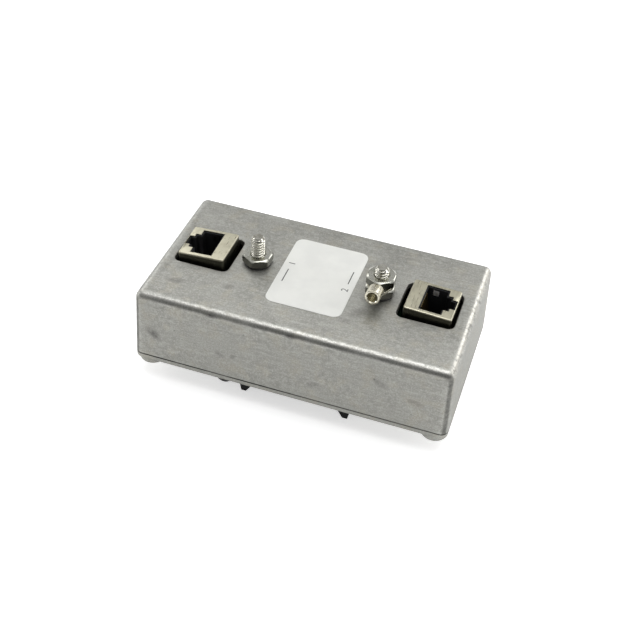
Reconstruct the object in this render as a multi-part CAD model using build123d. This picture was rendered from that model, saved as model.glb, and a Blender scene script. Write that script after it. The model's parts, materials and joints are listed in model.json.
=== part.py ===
from build123d import *
import math
import os

os.makedirs("parts", exist_ok=True)

# Ethernet surge protector: a die-cast box that lies with its cover underneath and stands on the
# hook tips of its rail clips. Millimetres, X along the box, Z up, origin under the box's centre
# on the plane that the hook tips rest on.

# Driving sizes of the die-cast box
box_length = 112.0
box_width = 62.0
box_height = 26.3
side_wall = 2.0
top_wall = 2.2
draft_angle = 2.0
outer_radius = 2.7
inner_corner_radius = 2.0

# Driving sizes of the cover, its corner pads and its screws
cover_thickness = 2.1
cover_edge_radius = 0.5
lip_height = 1.6
lip_thickness = 1.5
lip_clearance = 0.3
pad_radius = 4.75
pad_height = 2.2
pad_edge_radius = 0.8
pad_inset = 4.9
corner_post_radius = 4.0
cover_screw_radius = 1.75
cover_screw_head_radius = 3.4
cover_screw_head_height = 1.9
cover_screw_length = 12.0

# The hand-drilled layout of the top face stands a little off the box's centre
layout_x = -0.4
layout_y = 0.8

# Socket cut-outs in the top face
cutout_inset = 16.05
cutout_gap_x = 1.5
cutout_gap_y = 1.45
cutout_radius = 2.2
cutout_bevel = 0.3

# Label
label_stud_gap = 8.7
label_width = 36.4
label_radius = 3.0
label_thickness = 0.15

# Ground terminals: a screw from inside, a lock washer, a base nut, and on the right a ring lug
stud_socket_spacing = 17.85
stud_radius = 2.41
stud_neck_radius = 2.15
stud_reach = 10.9
stud_tip_length = 0.9
stud_tip_inset = 0.7
stud_head_radius = 4.6
stud_head_height = 3.0
stud_head_round = 1.0
stud_hole_clearance = 0.2
slot_width = 1.2
slot_depth = 1.4
nut_width = 9.525
nut_height = 3.2
nut_chamfer = 0.45
nut_face_inset = 0.2
nut_clearance = 0.06
base_nut_angle = {"left": -62.0, "right": -55.0}
terminal_nut_angle = -57.0
washer_radius = 4.85
washer_thickness = 0.6
lug_ring_radius = 4.75
lug_hole_clearance = 0.24
lug_thickness = 0.95
lug_nut_gap = 0.2
lug_neck_length = 0.4
lug_ramp = 1.0
lug_barrel_radius = 2.6
lug_bore_radius = 1.7
lug_barrel_length = 5.3
lug_tilt_angle = 12.0
lug_angle = -89.0

# Sockets: a folded shell over a moulded housing with eight spring wires
jack_row_x = -0.2
jack_inset = 0.2
jack_length = 16.7
jack_width = 16.0
jack_height = 16.0
jack_rise = 2.45
jack_lean_angle = {"left": 3.1, "right": 2.0}
jack_turn_angle = {"left": 0.8, "right": -0.8}
shell_thickness = 0.35
shell_edge_radius = 0.8
shell_top_radius = 0.45
shell_foot_gap = 0.2
shell_tab_width = 1.2
shell_tab_length = 2.6
shell_tab_spacing = 6.6
housing_clearance = 0.1
plug_length = 8.0
plug_width = 13.2
latch_step_length = 1.8
latch_step_width = 7.8
latch_tip_length = 1.75
latch_tip_width = 4.8
cavity_inset = 0.5
cavity_depth = 12.4
wire_count = 8
wire_spacing = 1.02
wire_size = 0.38
wire_slot = 0.6
wire_leg_inset = 2.1
wire_leg_stagger = 1.7
wire_crest_depth = 1.4
wire_foot_reach = 1.9
wire_foot_depth = 9.6
wire_bend_radius = 0.3
wire_tail = 2.8

# Circuit board and what it carries
board_end_gap = 5.5
board_post_gap = 0.6
board_thickness = 1.6
board_corner_radius = 1.5
board_post_radius = 3.0
board_post_inset_x = 19.5
board_post_inset_y = 3.5
board_screw_radius = 1.5
board_screw_head_radius = 2.75
board_screw_head_height = 1.9
board_screw_length = 7.0
pin_hole_radius = 0.42
tab_hole_radius = 1.0
column_pitch = 8.6
column_strap_gap = 2.0
tube_radius = 2.7
tube_length = 8.0
tube_collar_depth = 0.25
tube_collar_length = 1.2
tube_seat_gap = 0.05
tube_spacing = 2.0
diode_length = 4.4
diode_width = 3.6
diode_height = 2.3
diode_bevel = 0.45
resistor_length = 6.3
resistor_width = 3.2
resistor_height = 0.7
resistor_bevel = 0.15
row_gap_shares = 5
strap_width = 8.0
strap_thickness = 0.5
strap_reach = 8.5
strap_foot = 4.0
strap_bend_radius = 0.8

# Rail clips for a 35 mm rail that runs along Y
rail_width = 35.0
rail_flange = 1.0
rail_clearance = 0.3
rail_x = 1.4
clip_inset = 10.0
clip_width = 10.0
clip_base = 3.4
hook_drop = 4.5
hook_wall = 2.2
hook_bite = 1.8
hook_bite_height = 0.5
hook_tip_width = 1.8
hook_tip_inset = 0.5
hook_toe_height = 2.7
slide_width = 6.0
slide_thickness = 0.8
slide_gap = 0.15
slide_tail = 1.0
spring_inset = 7.3
spring_length = 8.0
spring_radius = 0.75
spring_wire_radius = 0.16
spring_turns = 9
spring_gap = 0.25
post_thickness = 1.0
lip_roll_radius = 2.9
lip_roll_reach = 6.0
lip_roll_width = 10.4
lip_roll_mouth = 1.93
clip_screw_insets = (12.8, 4.8)
clip_screw_radius = 1.5
clip_screw_head_radius = 2.8
clip_screw_head_height = 1.6
clip_screw_length = 8.4
clip_nut_width = 5.5
clip_nut_height = 2.4
clip_nut_chamfer = 0.3

# Shared by the fasteners and the cutters
thread_clearance = 0.05
tap_allowance = 2.0
cross_width = 0.8
cross_depth = 1.0
cross_inset = 1.2
beyond = 1.0

# Heights that follow from the driving sizes
clip_seat = hook_drop
cover_bottom = clip_seat + clip_base
pad_bottom = cover_bottom - pad_height
seam = cover_bottom + cover_thickness
box_top = seam + box_height
cavity_top = box_top - top_wall
board_top = box_top + jack_rise - jack_height
board_bottom = board_top - board_thickness
base_nut_bottom = box_top + washer_thickness
lug_bottom = base_nut_bottom + nut_height
terminal_nut_bottom = lug_bottom + lug_thickness
stud_top = box_top + stud_reach
head_top = cavity_top - strap_thickness
slide_bottom = cover_bottom - slide_gap - slide_thickness
track_bottom = slide_bottom - slide_gap
spring_level = slide_bottom + slide_thickness - spring_radius - spring_wire_radius
trough_bottom = spring_level - spring_radius - spring_wire_radius - spring_gap

# Sizes and places that follow from the driving sizes
corner_x = box_length / 2 - pad_inset
corner_y = box_width / 2 - pad_inset
corner_places = [(x, y) for x in (-corner_x, corner_x) for y in (-corner_y, corner_y)]
cutout_half_pitch = box_length / 2 - cutout_inset
stud_half_pitch = cutout_half_pitch - stud_socket_spacing
label_length = 2 * (stud_half_pitch - label_stud_gap)
cutout_places = [(layout_x + sign * cutout_half_pitch, layout_y) for sign in (-1, 1)]
cutout_length = jack_length + 2 * cutout_gap_x
cutout_width = jack_width + 2 * cutout_gap_y
board_length = box_length - 2 * board_end_gap
board_width = 2 * (corner_y - corner_post_radius - board_post_gap)
board_post_x = board_length / 2 - board_post_inset_x
board_post_y = board_width / 2 - board_post_inset_y
board_places = [(x, y) for x in (-board_post_x, board_post_x)
                for y in (-board_post_y, board_post_y)]
stud_places = {side: (layout_x + sign * stud_half_pitch, layout_y)
               for side, sign in (("left", -1), ("right", 1))}
column_reach = stud_half_pitch - strap_width / 2 - column_strap_gap - resistor_length / 2
column_count = 1 + math.floor(2 * column_reach / column_pitch)
rows_length = tube_spacing / 2 + tube_length + diode_width + resistor_width
row_gap = (board_width / 2 - rows_length) / row_gap_shares
tube_row_y = (tube_length + tube_spacing) / 2
diode_row_y = tube_row_y + tube_length / 2 + row_gap + diode_width / 2
resistor_row_y = diode_row_y + diode_width / 2 + row_gap + resistor_width / 2
lug_neck = nut_width / math.sqrt(3) + lug_nut_gap
clip_y = box_width / 2 - clip_inset
clip_places = {"front": -clip_y, "rear": clip_y}
rail_edge = rail_width / 2 + rail_clearance
clip_screw_places = [rail_edge - inset for inset in clip_screw_insets]
spring_start = spring_inset - rail_edge
slide_window_end = spring_start + spring_length
trough_width = 2 * (spring_radius + spring_wire_radius + spring_gap)


def block(x, y, z):
    """A box between the low and high values of each axis."""
    size = [pair[1] - pair[0] for pair in (x, y, z)]
    middle = [(pair[0] + pair[1]) / 2 for pair in (x, y, z)]
    return Pos(*middle) * Box(*size)


def rod(radius, low, high, x=0.0, y=0.0):
    """An upright cylinder between two heights."""
    return Pos(x, y, (low + high) / 2) * Cylinder(radius, high - low)


def taper(low_radius, high_radius, low, high, x=0.0, y=0.0):
    """An upright cone between two heights."""
    return Pos(x, y, (low + high) / 2) * Cone(low_radius, high_radius, high - low)


def hex_nut(width, height, bore_radius, chamfer_height):
    """A nut that stands on the origin with a flat towards +X, its corners cut by cones."""
    corner = width / math.sqrt(3)
    face = width / 2 - nut_face_inset
    envelope = rod(corner, chamfer_height, height - chamfer_height)
    envelope += taper(face, corner, 0, chamfer_height)
    envelope += taper(corner, face, height - chamfer_height, height)
    outline = RegularPolygon(width / 2, 6, major_radius=False, rotation=30)
    return (extrude(outline, height) & envelope) - rod(bore_radius, -beyond, height + beyond)


def cross_recess(low, x, y, head_radius):
    """A cross driver recess cut upwards from the given height."""
    half = cross_width / 2
    reach = head_radius - cross_inset
    arms = block((-reach, reach), (-half, half), (-beyond, cross_depth))
    arms += block((-half, half), (-reach, reach), (-beyond, cross_depth))
    return Pos(x, y, low) * arms


def flat_screw(radius, head_radius, head_height, length, low, x, y):
    """A countersunk screw that points up, its head flush with the given height."""
    screw = taper(head_radius, radius, low, low + head_height, x, y)
    screw += rod(radius, low + head_height, low + length, x, y)
    return screw - cross_recess(low, x, y, head_radius)


def countersunk_hole(radius, head_radius, head_height, low, high, x, y):
    """The cutter that a flat screw's shank and head fit."""
    hole = rod(radius + thread_clearance, low - beyond, high + beyond, x, y)
    return hole + taper(head_radius + thread_clearance, radius + thread_clearance,
                        low, low + head_height, x, y)


def bent_strip(points, thickness, width, bend_radius):
    """A strip of sheet or flat wire bent along points in the XZ plane, width along Y."""
    path = FilletPolyline(*points, radius=bend_radius)
    strip = extrude(trace(path, thickness), width / 2, both=True)
    return Rot(90, 0, 0) * strip


def side_profile(points, width):
    """A shape drawn in the XZ plane and carried along Y, middle on the origin."""
    face = make_face(Polyline(*points, close=True))
    return Rot(90, 0, 0) * extrude(face, width / 2, both=True)


def plug_outline(inset, low, high):
    """The outline of the plug opening, narrower in steps towards its latch, as a cutter."""
    tip_end = jack_length / 2 - shell_thickness - inset
    step_end = tip_end - latch_tip_length
    main_end = step_end - latch_step_length
    half = plug_width / 2 - inset
    cutter = block((main_end + 2 * inset - plug_length, main_end), (-half, half), (low, high))
    half = latch_step_width / 2 - inset
    cutter += block((main_end, step_end), (-half, half), (low, high))
    half = latch_tip_width / 2 - inset
    return cutter + block((step_end, tip_end), (-half, half), (low, high))


def write(name, solids):
    """Writes one node, from one shape or a list of like pieces."""
    shape = Compound(children=solids) if isinstance(solids, list) else solids
    export_step(shape, os.path.join("parts", name + ".step"))


# Die-cast box
def enclosure_body():
    outside = extrude(Pos(0, 0, seam) * Rectangle(box_length, box_width), box_height,
                      taper=draft_angle)
    foot = outside.edges().group_by(Axis.Z)[0]
    outside = fillet([e for e in outside.edges() if e not in foot], outer_radius)
    mouth = RectangleRounded(box_length - 2 * side_wall, box_width - 2 * side_wall,
                             inner_corner_radius)
    body = outside - extrude(Pos(0, 0, seam) * mouth, box_height - top_wall, taper=draft_angle)
    for x, y in corner_places:
        body += rod(corner_post_radius, seam, cavity_top, x, y) & outside
    for x, y in board_places:
        body += rod(board_post_radius, board_top, cavity_top + top_wall / 2, x, y)
    for x, y in cutout_places:
        opening = RectangleRounded(cutout_length, cutout_width, cutout_radius)
        body -= extrude(Pos(x, y, cavity_top - beyond) * opening, top_wall + 2 * beyond)
    for x, y in stud_places.values():
        body -= rod(stud_radius + stud_hole_clearance, cavity_top - beyond, box_top + beyond, x, y)
    for x, y in corner_places:
        body -= rod(cover_screw_radius + thread_clearance, seam - beyond,
                    pad_bottom + cover_screw_length + tap_allowance, x, y)
    for x, y in board_places:
        body -= rod(board_screw_radius + thread_clearance, board_top - beyond,
                    board_bottom + board_screw_length + tap_allowance, x, y)
    return chamfer(cutout_rims(body), cutout_bevel)


def cutout_rims(body):
    """The edges around the socket cut-outs on the top face."""
    half_x = cutout_length / 2 + cutout_bevel
    half_y = cutout_width / 2 + cutout_bevel
    rims = body.edges().filter_by_position(Axis.Z, box_top - cutout_bevel, box_top + cutout_bevel)
    return [e for e in rims for x, y in cutout_places
            if abs(e.center().X - x) < half_x and abs(e.center().Y - y) < half_y]


# Cover under the box
def enclosure_cover():
    outline = RectangleRounded(box_length, box_width, outer_radius)
    plate = extrude(Pos(0, 0, cover_bottom) * outline, cover_thickness)
    plate = fillet(plate.edges().group_by(Axis.Z)[0], cover_edge_radius)
    cover = plate + cover_lip()
    for x, y in corner_places:
        cover += corner_pad(x, y)
    for x, y in corner_places:
        cover -= countersunk_hole(cover_screw_radius, cover_screw_head_radius,
                                  cover_screw_head_height, pad_bottom, seam, x, y)
    for y in clip_places.values():
        for place in clip_screw_places:
            cover -= rod(clip_screw_radius + thread_clearance, cover_bottom - beyond,
                         seam + beyond, rail_x + place, y)
    return cover


def cover_lip():
    """The rib that locates the cover in the box, cut away around the corner posts."""
    length = box_length - 2 * (side_wall + lip_clearance)
    width = box_width - 2 * (side_wall + lip_clearance)
    ring = RectangleRounded(length, width, inner_corner_radius)
    ring -= Rectangle(length - 2 * lip_thickness, width - 2 * lip_thickness)
    lip = extrude(Pos(0, 0, seam) * ring, lip_height)
    for x, y in corner_places:
        lip -= rod(corner_post_radius + lip_clearance, seam - beyond,
                   seam + lip_height + beyond, x, y)
    return lip


def corner_pad(x, y):
    pad = rod(pad_radius, pad_bottom, cover_bottom + cover_edge_radius, x, y)
    return fillet(pad.edges().group_by(Axis.Z)[0], pad_edge_radius)


def cover_screws():
    return [flat_screw(cover_screw_radius, cover_screw_head_radius, cover_screw_head_height,
                       cover_screw_length, pad_bottom, x, y) for x, y in corner_places]


def face_label():
    outline = RectangleRounded(label_length, label_width, label_radius)
    return extrude(Pos(layout_x, layout_y, box_top) * outline, label_thickness)


# Ground terminals
def ground_stud(x, y):
    """A slotted screw, full in its thread above the base nut and thinner below the thread."""
    tip = stud_top - stud_tip_length
    head = rod(stud_head_radius, head_top - stud_head_height, head_top, x, y)
    stud = fillet(head.edges().group_by(Axis.Z)[0], stud_head_round)
    stud += rod(stud_neck_radius, head_top - stud_head_round, lug_bottom, x, y)
    stud += rod(stud_radius, lug_bottom, tip, x, y)
    stud += taper(stud_radius, stud_radius - stud_tip_inset, tip, stud_top, x, y)
    low = head_top - stud_head_height
    half = slot_width / 2
    return stud - block((x - stud_head_radius, x + stud_head_radius), (y - half, y + half),
                        (low, low + slot_depth))


def lock_washers():
    rings = []
    for x, y in stud_places.values():
        hole = rod(stud_radius + stud_hole_clearance, box_top - beyond, box_top + beyond, x, y)
        rings.append(rod(washer_radius, box_top, base_nut_bottom, x, y) - hole)
    return rings


def stud_nut(x, y, low, facing):
    nut = hex_nut(nut_width, nut_height, stud_radius + nut_clearance, nut_chamfer)
    return Pos(x, y, low) * Rot(0, 0, facing) * nut


def ground_lug(x, y):
    """A ring terminal made along X, then turned about its stud."""
    ring = Circle(lug_ring_radius)
    neck = Pos(lug_neck - lug_neck_length / 2, 0) * Rectangle(lug_neck_length,
                                                              2 * lug_barrel_radius)
    lug = extrude(make_hull(ring.edges() + neck.edges()), lug_thickness)
    slope = math.radians(lug_tilt_angle)
    along = Vector(math.cos(slope), 0, math.sin(slope))
    start = Plane(origin=(lug_neck, 0, lug_thickness / 2), x_dir=(0, 1, 0), z_dir=(1, 0, 0))
    middle = Vector(lug_neck + lug_ramp + lug_barrel_radius * math.sin(slope), 0,
                    lug_barrel_radius * math.cos(slope))
    root = Plane(origin=middle, x_dir=(0, 1, 0), z_dir=along)
    lug += loft([start * Rectangle(2 * lug_barrel_radius, lug_thickness),
                 root * Circle(lug_barrel_radius)])
    lug += extrude(root * Circle(lug_barrel_radius), lug_barrel_length)
    lug -= extrude(root * Circle(lug_bore_radius), lug_barrel_length + beyond)
    lug -= rod(stud_radius + lug_hole_clearance, -beyond, lug_thickness + beyond)
    return Pos(x, y, lug_bottom) * Rot(0, 0, lug_angle) * lug


def ground_strap(x, y):
    """From under the screw's head down to a soldered foot on the board."""
    high = cavity_top - strap_thickness / 2
    low = board_top + strap_thickness / 2
    points = [(-stud_head_radius, high), (strap_reach, high), (strap_reach, low),
              (strap_reach + strap_foot, low)]
    strip = bent_strip(points, strap_thickness, strap_width, strap_bend_radius)
    strap = Pos(x, y, 0) * Rot(0, 0, 90) * strip
    return strap - rod(stud_radius + stud_hole_clearance, head_top - beyond,
                       cavity_top + beyond, x, y)


# Sockets, on their own origin at the middle of their foot, latch towards +X
def jack_shield():
    half_x = jack_length / 2
    half_y = jack_width / 2
    shell = block((-half_x, half_x), (-half_y, half_y), (shell_foot_gap, jack_height))
    shell = fillet(shell.edges().filter_by(Axis.Z), shell_edge_radius)
    shell = fillet(shell.edges().group_by(Axis.Z)[-1], shell_top_radius)
    inside = block((shell_thickness - half_x, half_x - shell_thickness),
                   (shell_thickness - half_y, half_y - shell_thickness),
                   (shell_foot_gap - beyond, jack_height - shell_thickness))
    shell -= fillet(inside.edges().filter_by(Axis.Z), shell_edge_radius - shell_thickness)
    shell -= plug_outline(0, jack_height - beyond, jack_height + beyond)
    half_tab = shell_tab_width / 2
    for x, y in shell_tabs():
        shell += block((x - half_tab, x + half_tab),
                       (y - shell_thickness / 2, y + shell_thickness / 2),
                       (-shell_tab_length, shell_foot_gap + beyond))
    return shell


def shell_tabs():
    """Where the shell's solder tabs stand, as seen from above."""
    x = shell_tab_spacing / 2
    y = jack_width / 2 - shell_thickness / 2
    return [(-x, -y), (-x, y), (x, -y), (x, y)]


def cavity_start():
    """The inner wall of the plug cavity, which the spring wires leave."""
    step_end = jack_length / 2 - shell_thickness - latch_tip_length
    return step_end - latch_step_length - plug_length + cavity_inset


def wire_rows():
    """Each spring wire's place across the socket and the place of its leg."""
    middle = (wire_count - 1) / 2
    leg = cavity_start() - wire_leg_inset
    return [((i - middle) * wire_spacing, leg - i % 2 * wire_leg_stagger)
            for i in range(wire_count)]


def jack_housing():
    half_x = jack_length / 2 - shell_thickness - housing_clearance
    half_y = jack_width / 2 - shell_thickness - housing_clearance
    top = jack_height - shell_thickness - housing_clearance
    housing = block((-half_x, half_x), (-half_y, half_y), (0, top))
    housing = fillet(housing.edges().filter_by(Axis.Z), shell_edge_radius - shell_thickness)
    housing -= plug_outline(cavity_inset, jack_height - cavity_depth, jack_height)
    half_slot = wire_slot / 2
    crest = jack_height - wire_crest_depth
    for y, leg in wire_rows():
        housing -= block((leg - half_slot, cavity_start() + half_slot),
                         (y - half_slot, y + half_slot), (-beyond, crest + half_slot))
    return housing


def jack_contacts():
    wires = []
    crest = jack_height - wire_crest_depth
    foot = (cavity_start() + wire_foot_reach, jack_height - wire_foot_depth)
    for y, leg in wire_rows():
        points = [(leg, -wire_tail), (leg, crest), (cavity_start(), crest), foot]
        wires.append(Pos(0, y, 0) * bent_strip(points, wire_size, wire_size, wire_bend_radius))
    return wires


def jack_location(side):
    """Where a socket stands: soldered a little askew, its latch side leaning down and out."""
    sign = -1 if side == "left" else 1
    lift = jack_length / 2 * math.sin(math.radians(jack_lean_angle[side]))
    x = jack_row_x + sign * (cutout_half_pitch - jack_inset)
    facing = jack_turn_angle[side] + (180 if side == "left" else 0)
    return Pos(x, layout_y, board_top + lift) * Rot(0, 0, facing) * Rot(0, jack_lean_angle[side], 0)


# Circuit board
def circuit_board():
    outline = RectangleRounded(board_length, board_width, board_corner_radius)
    board = extrude(Pos(0, 0, board_bottom) * outline, board_thickness)
    for side in ("left", "right"):
        for x, y in shell_tabs():
            board -= board_hole(side, x, y, tab_hole_radius)
        for y, leg in wire_rows():
            board -= board_hole(side, leg, y, pin_hole_radius)
    for x, y in board_places:
        board -= rod(board_screw_radius + thread_clearance, board_bottom - beyond,
                     board_top + beyond, x, y)
    return board


def board_hole(side, x, y, radius):
    """An upright hole where a socket's pin crosses the middle of the board."""
    place = (jack_location(side) * Pos(x, y, -board_thickness / 2)).position
    return rod(radius, board_bottom - beyond, board_top + beyond, place.X, place.Y)


def board_screws():
    screws = []
    low = board_bottom - board_screw_head_height
    for x, y in board_places:
        screw = rod(board_screw_head_radius, low, board_bottom, x, y)
        screw += rod(board_screw_radius, board_bottom, board_bottom + board_screw_length, x, y)
        screws.append(screw - cross_recess(low, x, y, board_screw_head_radius))
    return screws


def board_places_of(row_y):
    """The two rows of places that one kind of surge part takes on the board."""
    middle = (column_count - 1) / 2
    return [((i - middle) * column_pitch, side * row_y)
            for i in range(column_count) for side in (-1, 1)]


def gas_tubes():
    tube = Cylinder(tube_radius, tube_length)
    for end in (-1, 1):
        collar = Cylinder(tube_radius + tube_collar_depth, tube_collar_length)
        tube += Pos(0, 0, end * (tube_length - tube_collar_length) / 2) * collar
    level = board_top + tube_radius + tube_collar_depth + tube_seat_gap
    return [Pos(x, y, level) * Rot(90, 0, 0) * tube for x, y in board_places_of(tube_row_y)]


def moulded_chips(length, width, height, bevel, row_y):
    """Chips that lie flat on the board."""
    chip = Pos(0, 0, board_top + height / 2) * Box(length, width, height)
    chip = chamfer(chip.edges().group_by(Axis.Z)[-1], bevel)
    return [Pos(x, y, 0) * chip for x, y in board_places_of(row_y)]


# Rail clips, on their own origin under the rail's centre line, latch towards -X
def hook_profile():
    """The fixed hook's outline in the XZ plane, from its root inside to its root outside."""
    barb_top = clip_seat - rail_flange - rail_clearance
    barb = rail_edge - hook_bite
    outer = rail_edge + hook_wall
    tip = outer - hook_tip_inset
    return [(rail_edge, clip_seat), (rail_edge, barb_top), (barb, barb_top),
            (barb, barb_top - hook_bite_height), (tip - hook_tip_width, 0), (tip, 0),
            (outer, hook_toe_height), (outer, clip_seat)]


def rail_clip():
    left = rail_clearance - rail_edge
    outer = rail_edge + hook_wall
    outline = [(left, clip_seat)] + hook_profile() + [(outer, cover_bottom), (left, cover_bottom)]
    clip = side_profile(outline, clip_width)
    track_end = slide_window_end + slide_tail + slide_gap
    half_track = slide_width / 2 + slide_gap
    half_trough = trough_width / 2
    clip -= block((left - beyond, track_end), (-half_track, half_track),
                  (track_bottom, cover_bottom + beyond))
    clip -= block((spring_start, track_end), (-half_trough, half_trough),
                  (trough_bottom, cover_bottom + beyond))
    half_post = half_trough - slide_gap
    clip += block((spring_start - post_thickness, spring_start), (-half_post, half_post),
                  (trough_bottom, cover_bottom - slide_gap))
    for place in clip_screw_places:
        clip -= countersunk_hole(clip_screw_radius, clip_screw_head_radius,
                                 clip_screw_head_height, clip_seat, cover_bottom, place, 0)
    return clip


def latch_slide():
    """A steel strip with a window for the post and spring and a rolled finger lip, its mouth
    open from below the roll's middle to its top."""
    high = slide_bottom + slide_thickness
    roll_x = -rail_edge - hook_wall - lip_roll_reach
    half = slide_width / 2
    slide = block((roll_x, slide_window_end + slide_tail), (-half, half), (slide_bottom, high))
    half_window = trough_width / 2
    slide -= block((spring_start - post_thickness - slide_gap, slide_window_end),
                   (-half_window, half_window), (slide_bottom - beyond, high + beyond))
    size = 2 * lip_roll_radius
    ring = Circle(lip_roll_radius) - Circle(lip_roll_radius - slide_thickness)
    ring -= Pos(lip_roll_radius, lip_roll_radius - lip_roll_mouth) * Rectangle(size, size)
    roll = Rot(90, 0, 0) * extrude(ring, lip_roll_width / 2, both=True)
    return slide + Pos(roll_x, 0, high - lip_roll_radius) * roll


def latch_hook():
    """The moulded hook, cast round the slide, at rest against the rail."""
    head = cover_bottom - slide_gap
    outline = [(-x, z) for x, z in hook_profile()]
    outline += [(-rail_edge - hook_wall, head), (-rail_edge, head)]
    half = slide_width / 2
    hook = side_profile(outline, clip_width)
    return hook - block((-rail_edge - hook_wall - beyond, beyond - rail_edge), (-half, half),
                        (slide_bottom, slide_bottom + slide_thickness))


def latch_spring():
    """A coil spring between the clip's post and the end of the slide's window."""
    length = spring_length - 2 * spring_wire_radius
    coil = Helix(length / spring_turns, length, spring_radius)
    section = Plane(origin=coil @ 0, z_dir=coil % 0) * Circle(spring_wire_radius)
    spring = Rot(0, 90, 0) * sweep(section, coil, is_frenet=True)
    return Pos(spring_start + spring_wire_radius, 0, spring_level) * spring


def clip_screws():
    return [flat_screw(clip_screw_radius, clip_screw_head_radius, clip_screw_head_height,
                       clip_screw_length, clip_seat, rail_x + place, y)
            for y in clip_places.values() for place in clip_screw_places]


def clip_nuts():
    nut = hex_nut(clip_nut_width, clip_nut_height, clip_screw_radius + thread_clearance,
                  clip_nut_chamfer)
    return [Pos(rail_x + place, y, seam) * nut
            for y in clip_places.values() for place in clip_screw_places]


def build_enclosure():
    write("enclosure_body", enclosure_body())
    write("enclosure_cover", enclosure_cover())
    write("cover_screws", cover_screws())
    write("face_label", face_label())


def build_terminals():
    for side, (x, y) in stud_places.items():
        write("ground_stud_" + side, ground_stud(x, y))
        write("base_nut_" + side, stud_nut(x, y, base_nut_bottom, base_nut_angle[side]))
        write("ground_strap_" + side, ground_strap(x, y))
    write("lock_washers", lock_washers())
    x, y = stud_places["right"]
    write("ground_lug", ground_lug(x, y))
    write("terminal_nut", stud_nut(x, y, terminal_nut_bottom, terminal_nut_angle))


def build_board():
    for side in ("left", "right"):
        place = jack_location(side)
        write("jack_shield_" + side, place * jack_shield())
        write("jack_housing_" + side, place * jack_housing())
        write("jack_contacts_" + side, [place * wire for wire in jack_contacts()])
    write("circuit_board", circuit_board())
    write("board_screws", board_screws())
    write("gas_tubes", gas_tubes())
    write("clamp_diodes", moulded_chips(diode_length, diode_width, diode_height, diode_bevel,
                                        diode_row_y))
    write("series_resistors", moulded_chips(resistor_length, resistor_width, resistor_height,
                                            resistor_bevel, resistor_row_y))


def build_clips():
    for end, y in clip_places.items():
        place = Pos(rail_x, y, 0)
        write("rail_clip_" + end, place * rail_clip())
        write("latch_slide_" + end, place * latch_slide())
        write("latch_hook_" + end, place * latch_hook())
        write("latch_spring_" + end, place * latch_spring())
    write("clip_screws", clip_screws())
    write("clip_nuts", clip_nuts())


build_enclosure()
build_terminals()
build_board()
build_clips()
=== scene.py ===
"""Looks of an ethernet surge protector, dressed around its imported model.

Lengths in the classes are millimetres in the model's frame: X along the box from the left socket
to the right one, Y away from the camera, Z up from the tips of the rail clips' hooks.
"""
import json
import logging
import math
from dataclasses import dataclass, field
from enum import Enum

import bmesh
import bpy
import numpy as np
from mathutils import Matrix, Vector

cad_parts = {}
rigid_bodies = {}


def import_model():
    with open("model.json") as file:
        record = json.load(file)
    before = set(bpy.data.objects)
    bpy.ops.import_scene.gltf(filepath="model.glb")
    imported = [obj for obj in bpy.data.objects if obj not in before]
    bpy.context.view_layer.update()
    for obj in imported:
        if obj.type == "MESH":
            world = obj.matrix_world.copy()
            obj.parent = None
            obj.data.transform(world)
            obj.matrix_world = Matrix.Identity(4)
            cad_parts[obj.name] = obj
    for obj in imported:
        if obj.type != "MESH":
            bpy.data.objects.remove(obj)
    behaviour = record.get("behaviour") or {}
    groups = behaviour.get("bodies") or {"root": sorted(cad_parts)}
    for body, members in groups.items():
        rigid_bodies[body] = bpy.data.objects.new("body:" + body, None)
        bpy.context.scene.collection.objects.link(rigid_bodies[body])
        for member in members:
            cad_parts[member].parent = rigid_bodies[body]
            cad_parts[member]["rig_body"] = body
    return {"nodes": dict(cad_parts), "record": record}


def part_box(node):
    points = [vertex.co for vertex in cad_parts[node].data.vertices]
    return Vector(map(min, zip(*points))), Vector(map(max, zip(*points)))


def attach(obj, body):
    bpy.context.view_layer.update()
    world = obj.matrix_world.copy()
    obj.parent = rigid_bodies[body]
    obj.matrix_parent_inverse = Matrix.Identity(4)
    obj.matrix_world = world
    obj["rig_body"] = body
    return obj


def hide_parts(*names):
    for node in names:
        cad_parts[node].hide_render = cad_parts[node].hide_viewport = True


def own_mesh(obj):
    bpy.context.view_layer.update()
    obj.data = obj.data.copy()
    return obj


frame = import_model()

logging.basicConfig(level=logging.INFO, format="%(message)s")
log = logging.getLogger("surge_protector")

MM = 0.001
FULL_TURN = 2 * math.pi
# The distances in mm within which points merge or snap to a cut, and a flat's angle in degrees
NODE_MERGE = 0.001
GRID_MERGE = 0.0005
CUT_SNAP = 0.0005
FLAT_ANGLE = 0.4
Socket = bpy.types.NodeSocket
Value = float | tuple[float, ...] | Socket
Sockets = dict[str | int, Value]
Triple = tuple[float, float, float]
Tone = tuple[float, float, float]
Pair = tuple[float, float]
Grid = tuple[np.ndarray, bool, bool]
Cut = tuple[int, float]


class Side(Enum):
    """The two ends of the box, with the sign of their X."""

    LEFT = -1
    RIGHT = 1

    @property
    def label(self) -> str:
        """The side's word in the names of nodes and pieces."""
        return self.name.lower()


class Reach(Enum):
    """How a stretched pattern runs over a surface."""

    EVEN = (1.0, 1.0, 1.0)
    ALONG_X = (0.16, 1.0, 1.0)
    ALONG_Y = (1.0, 0.08, 1.0)


# Node trees


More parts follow.
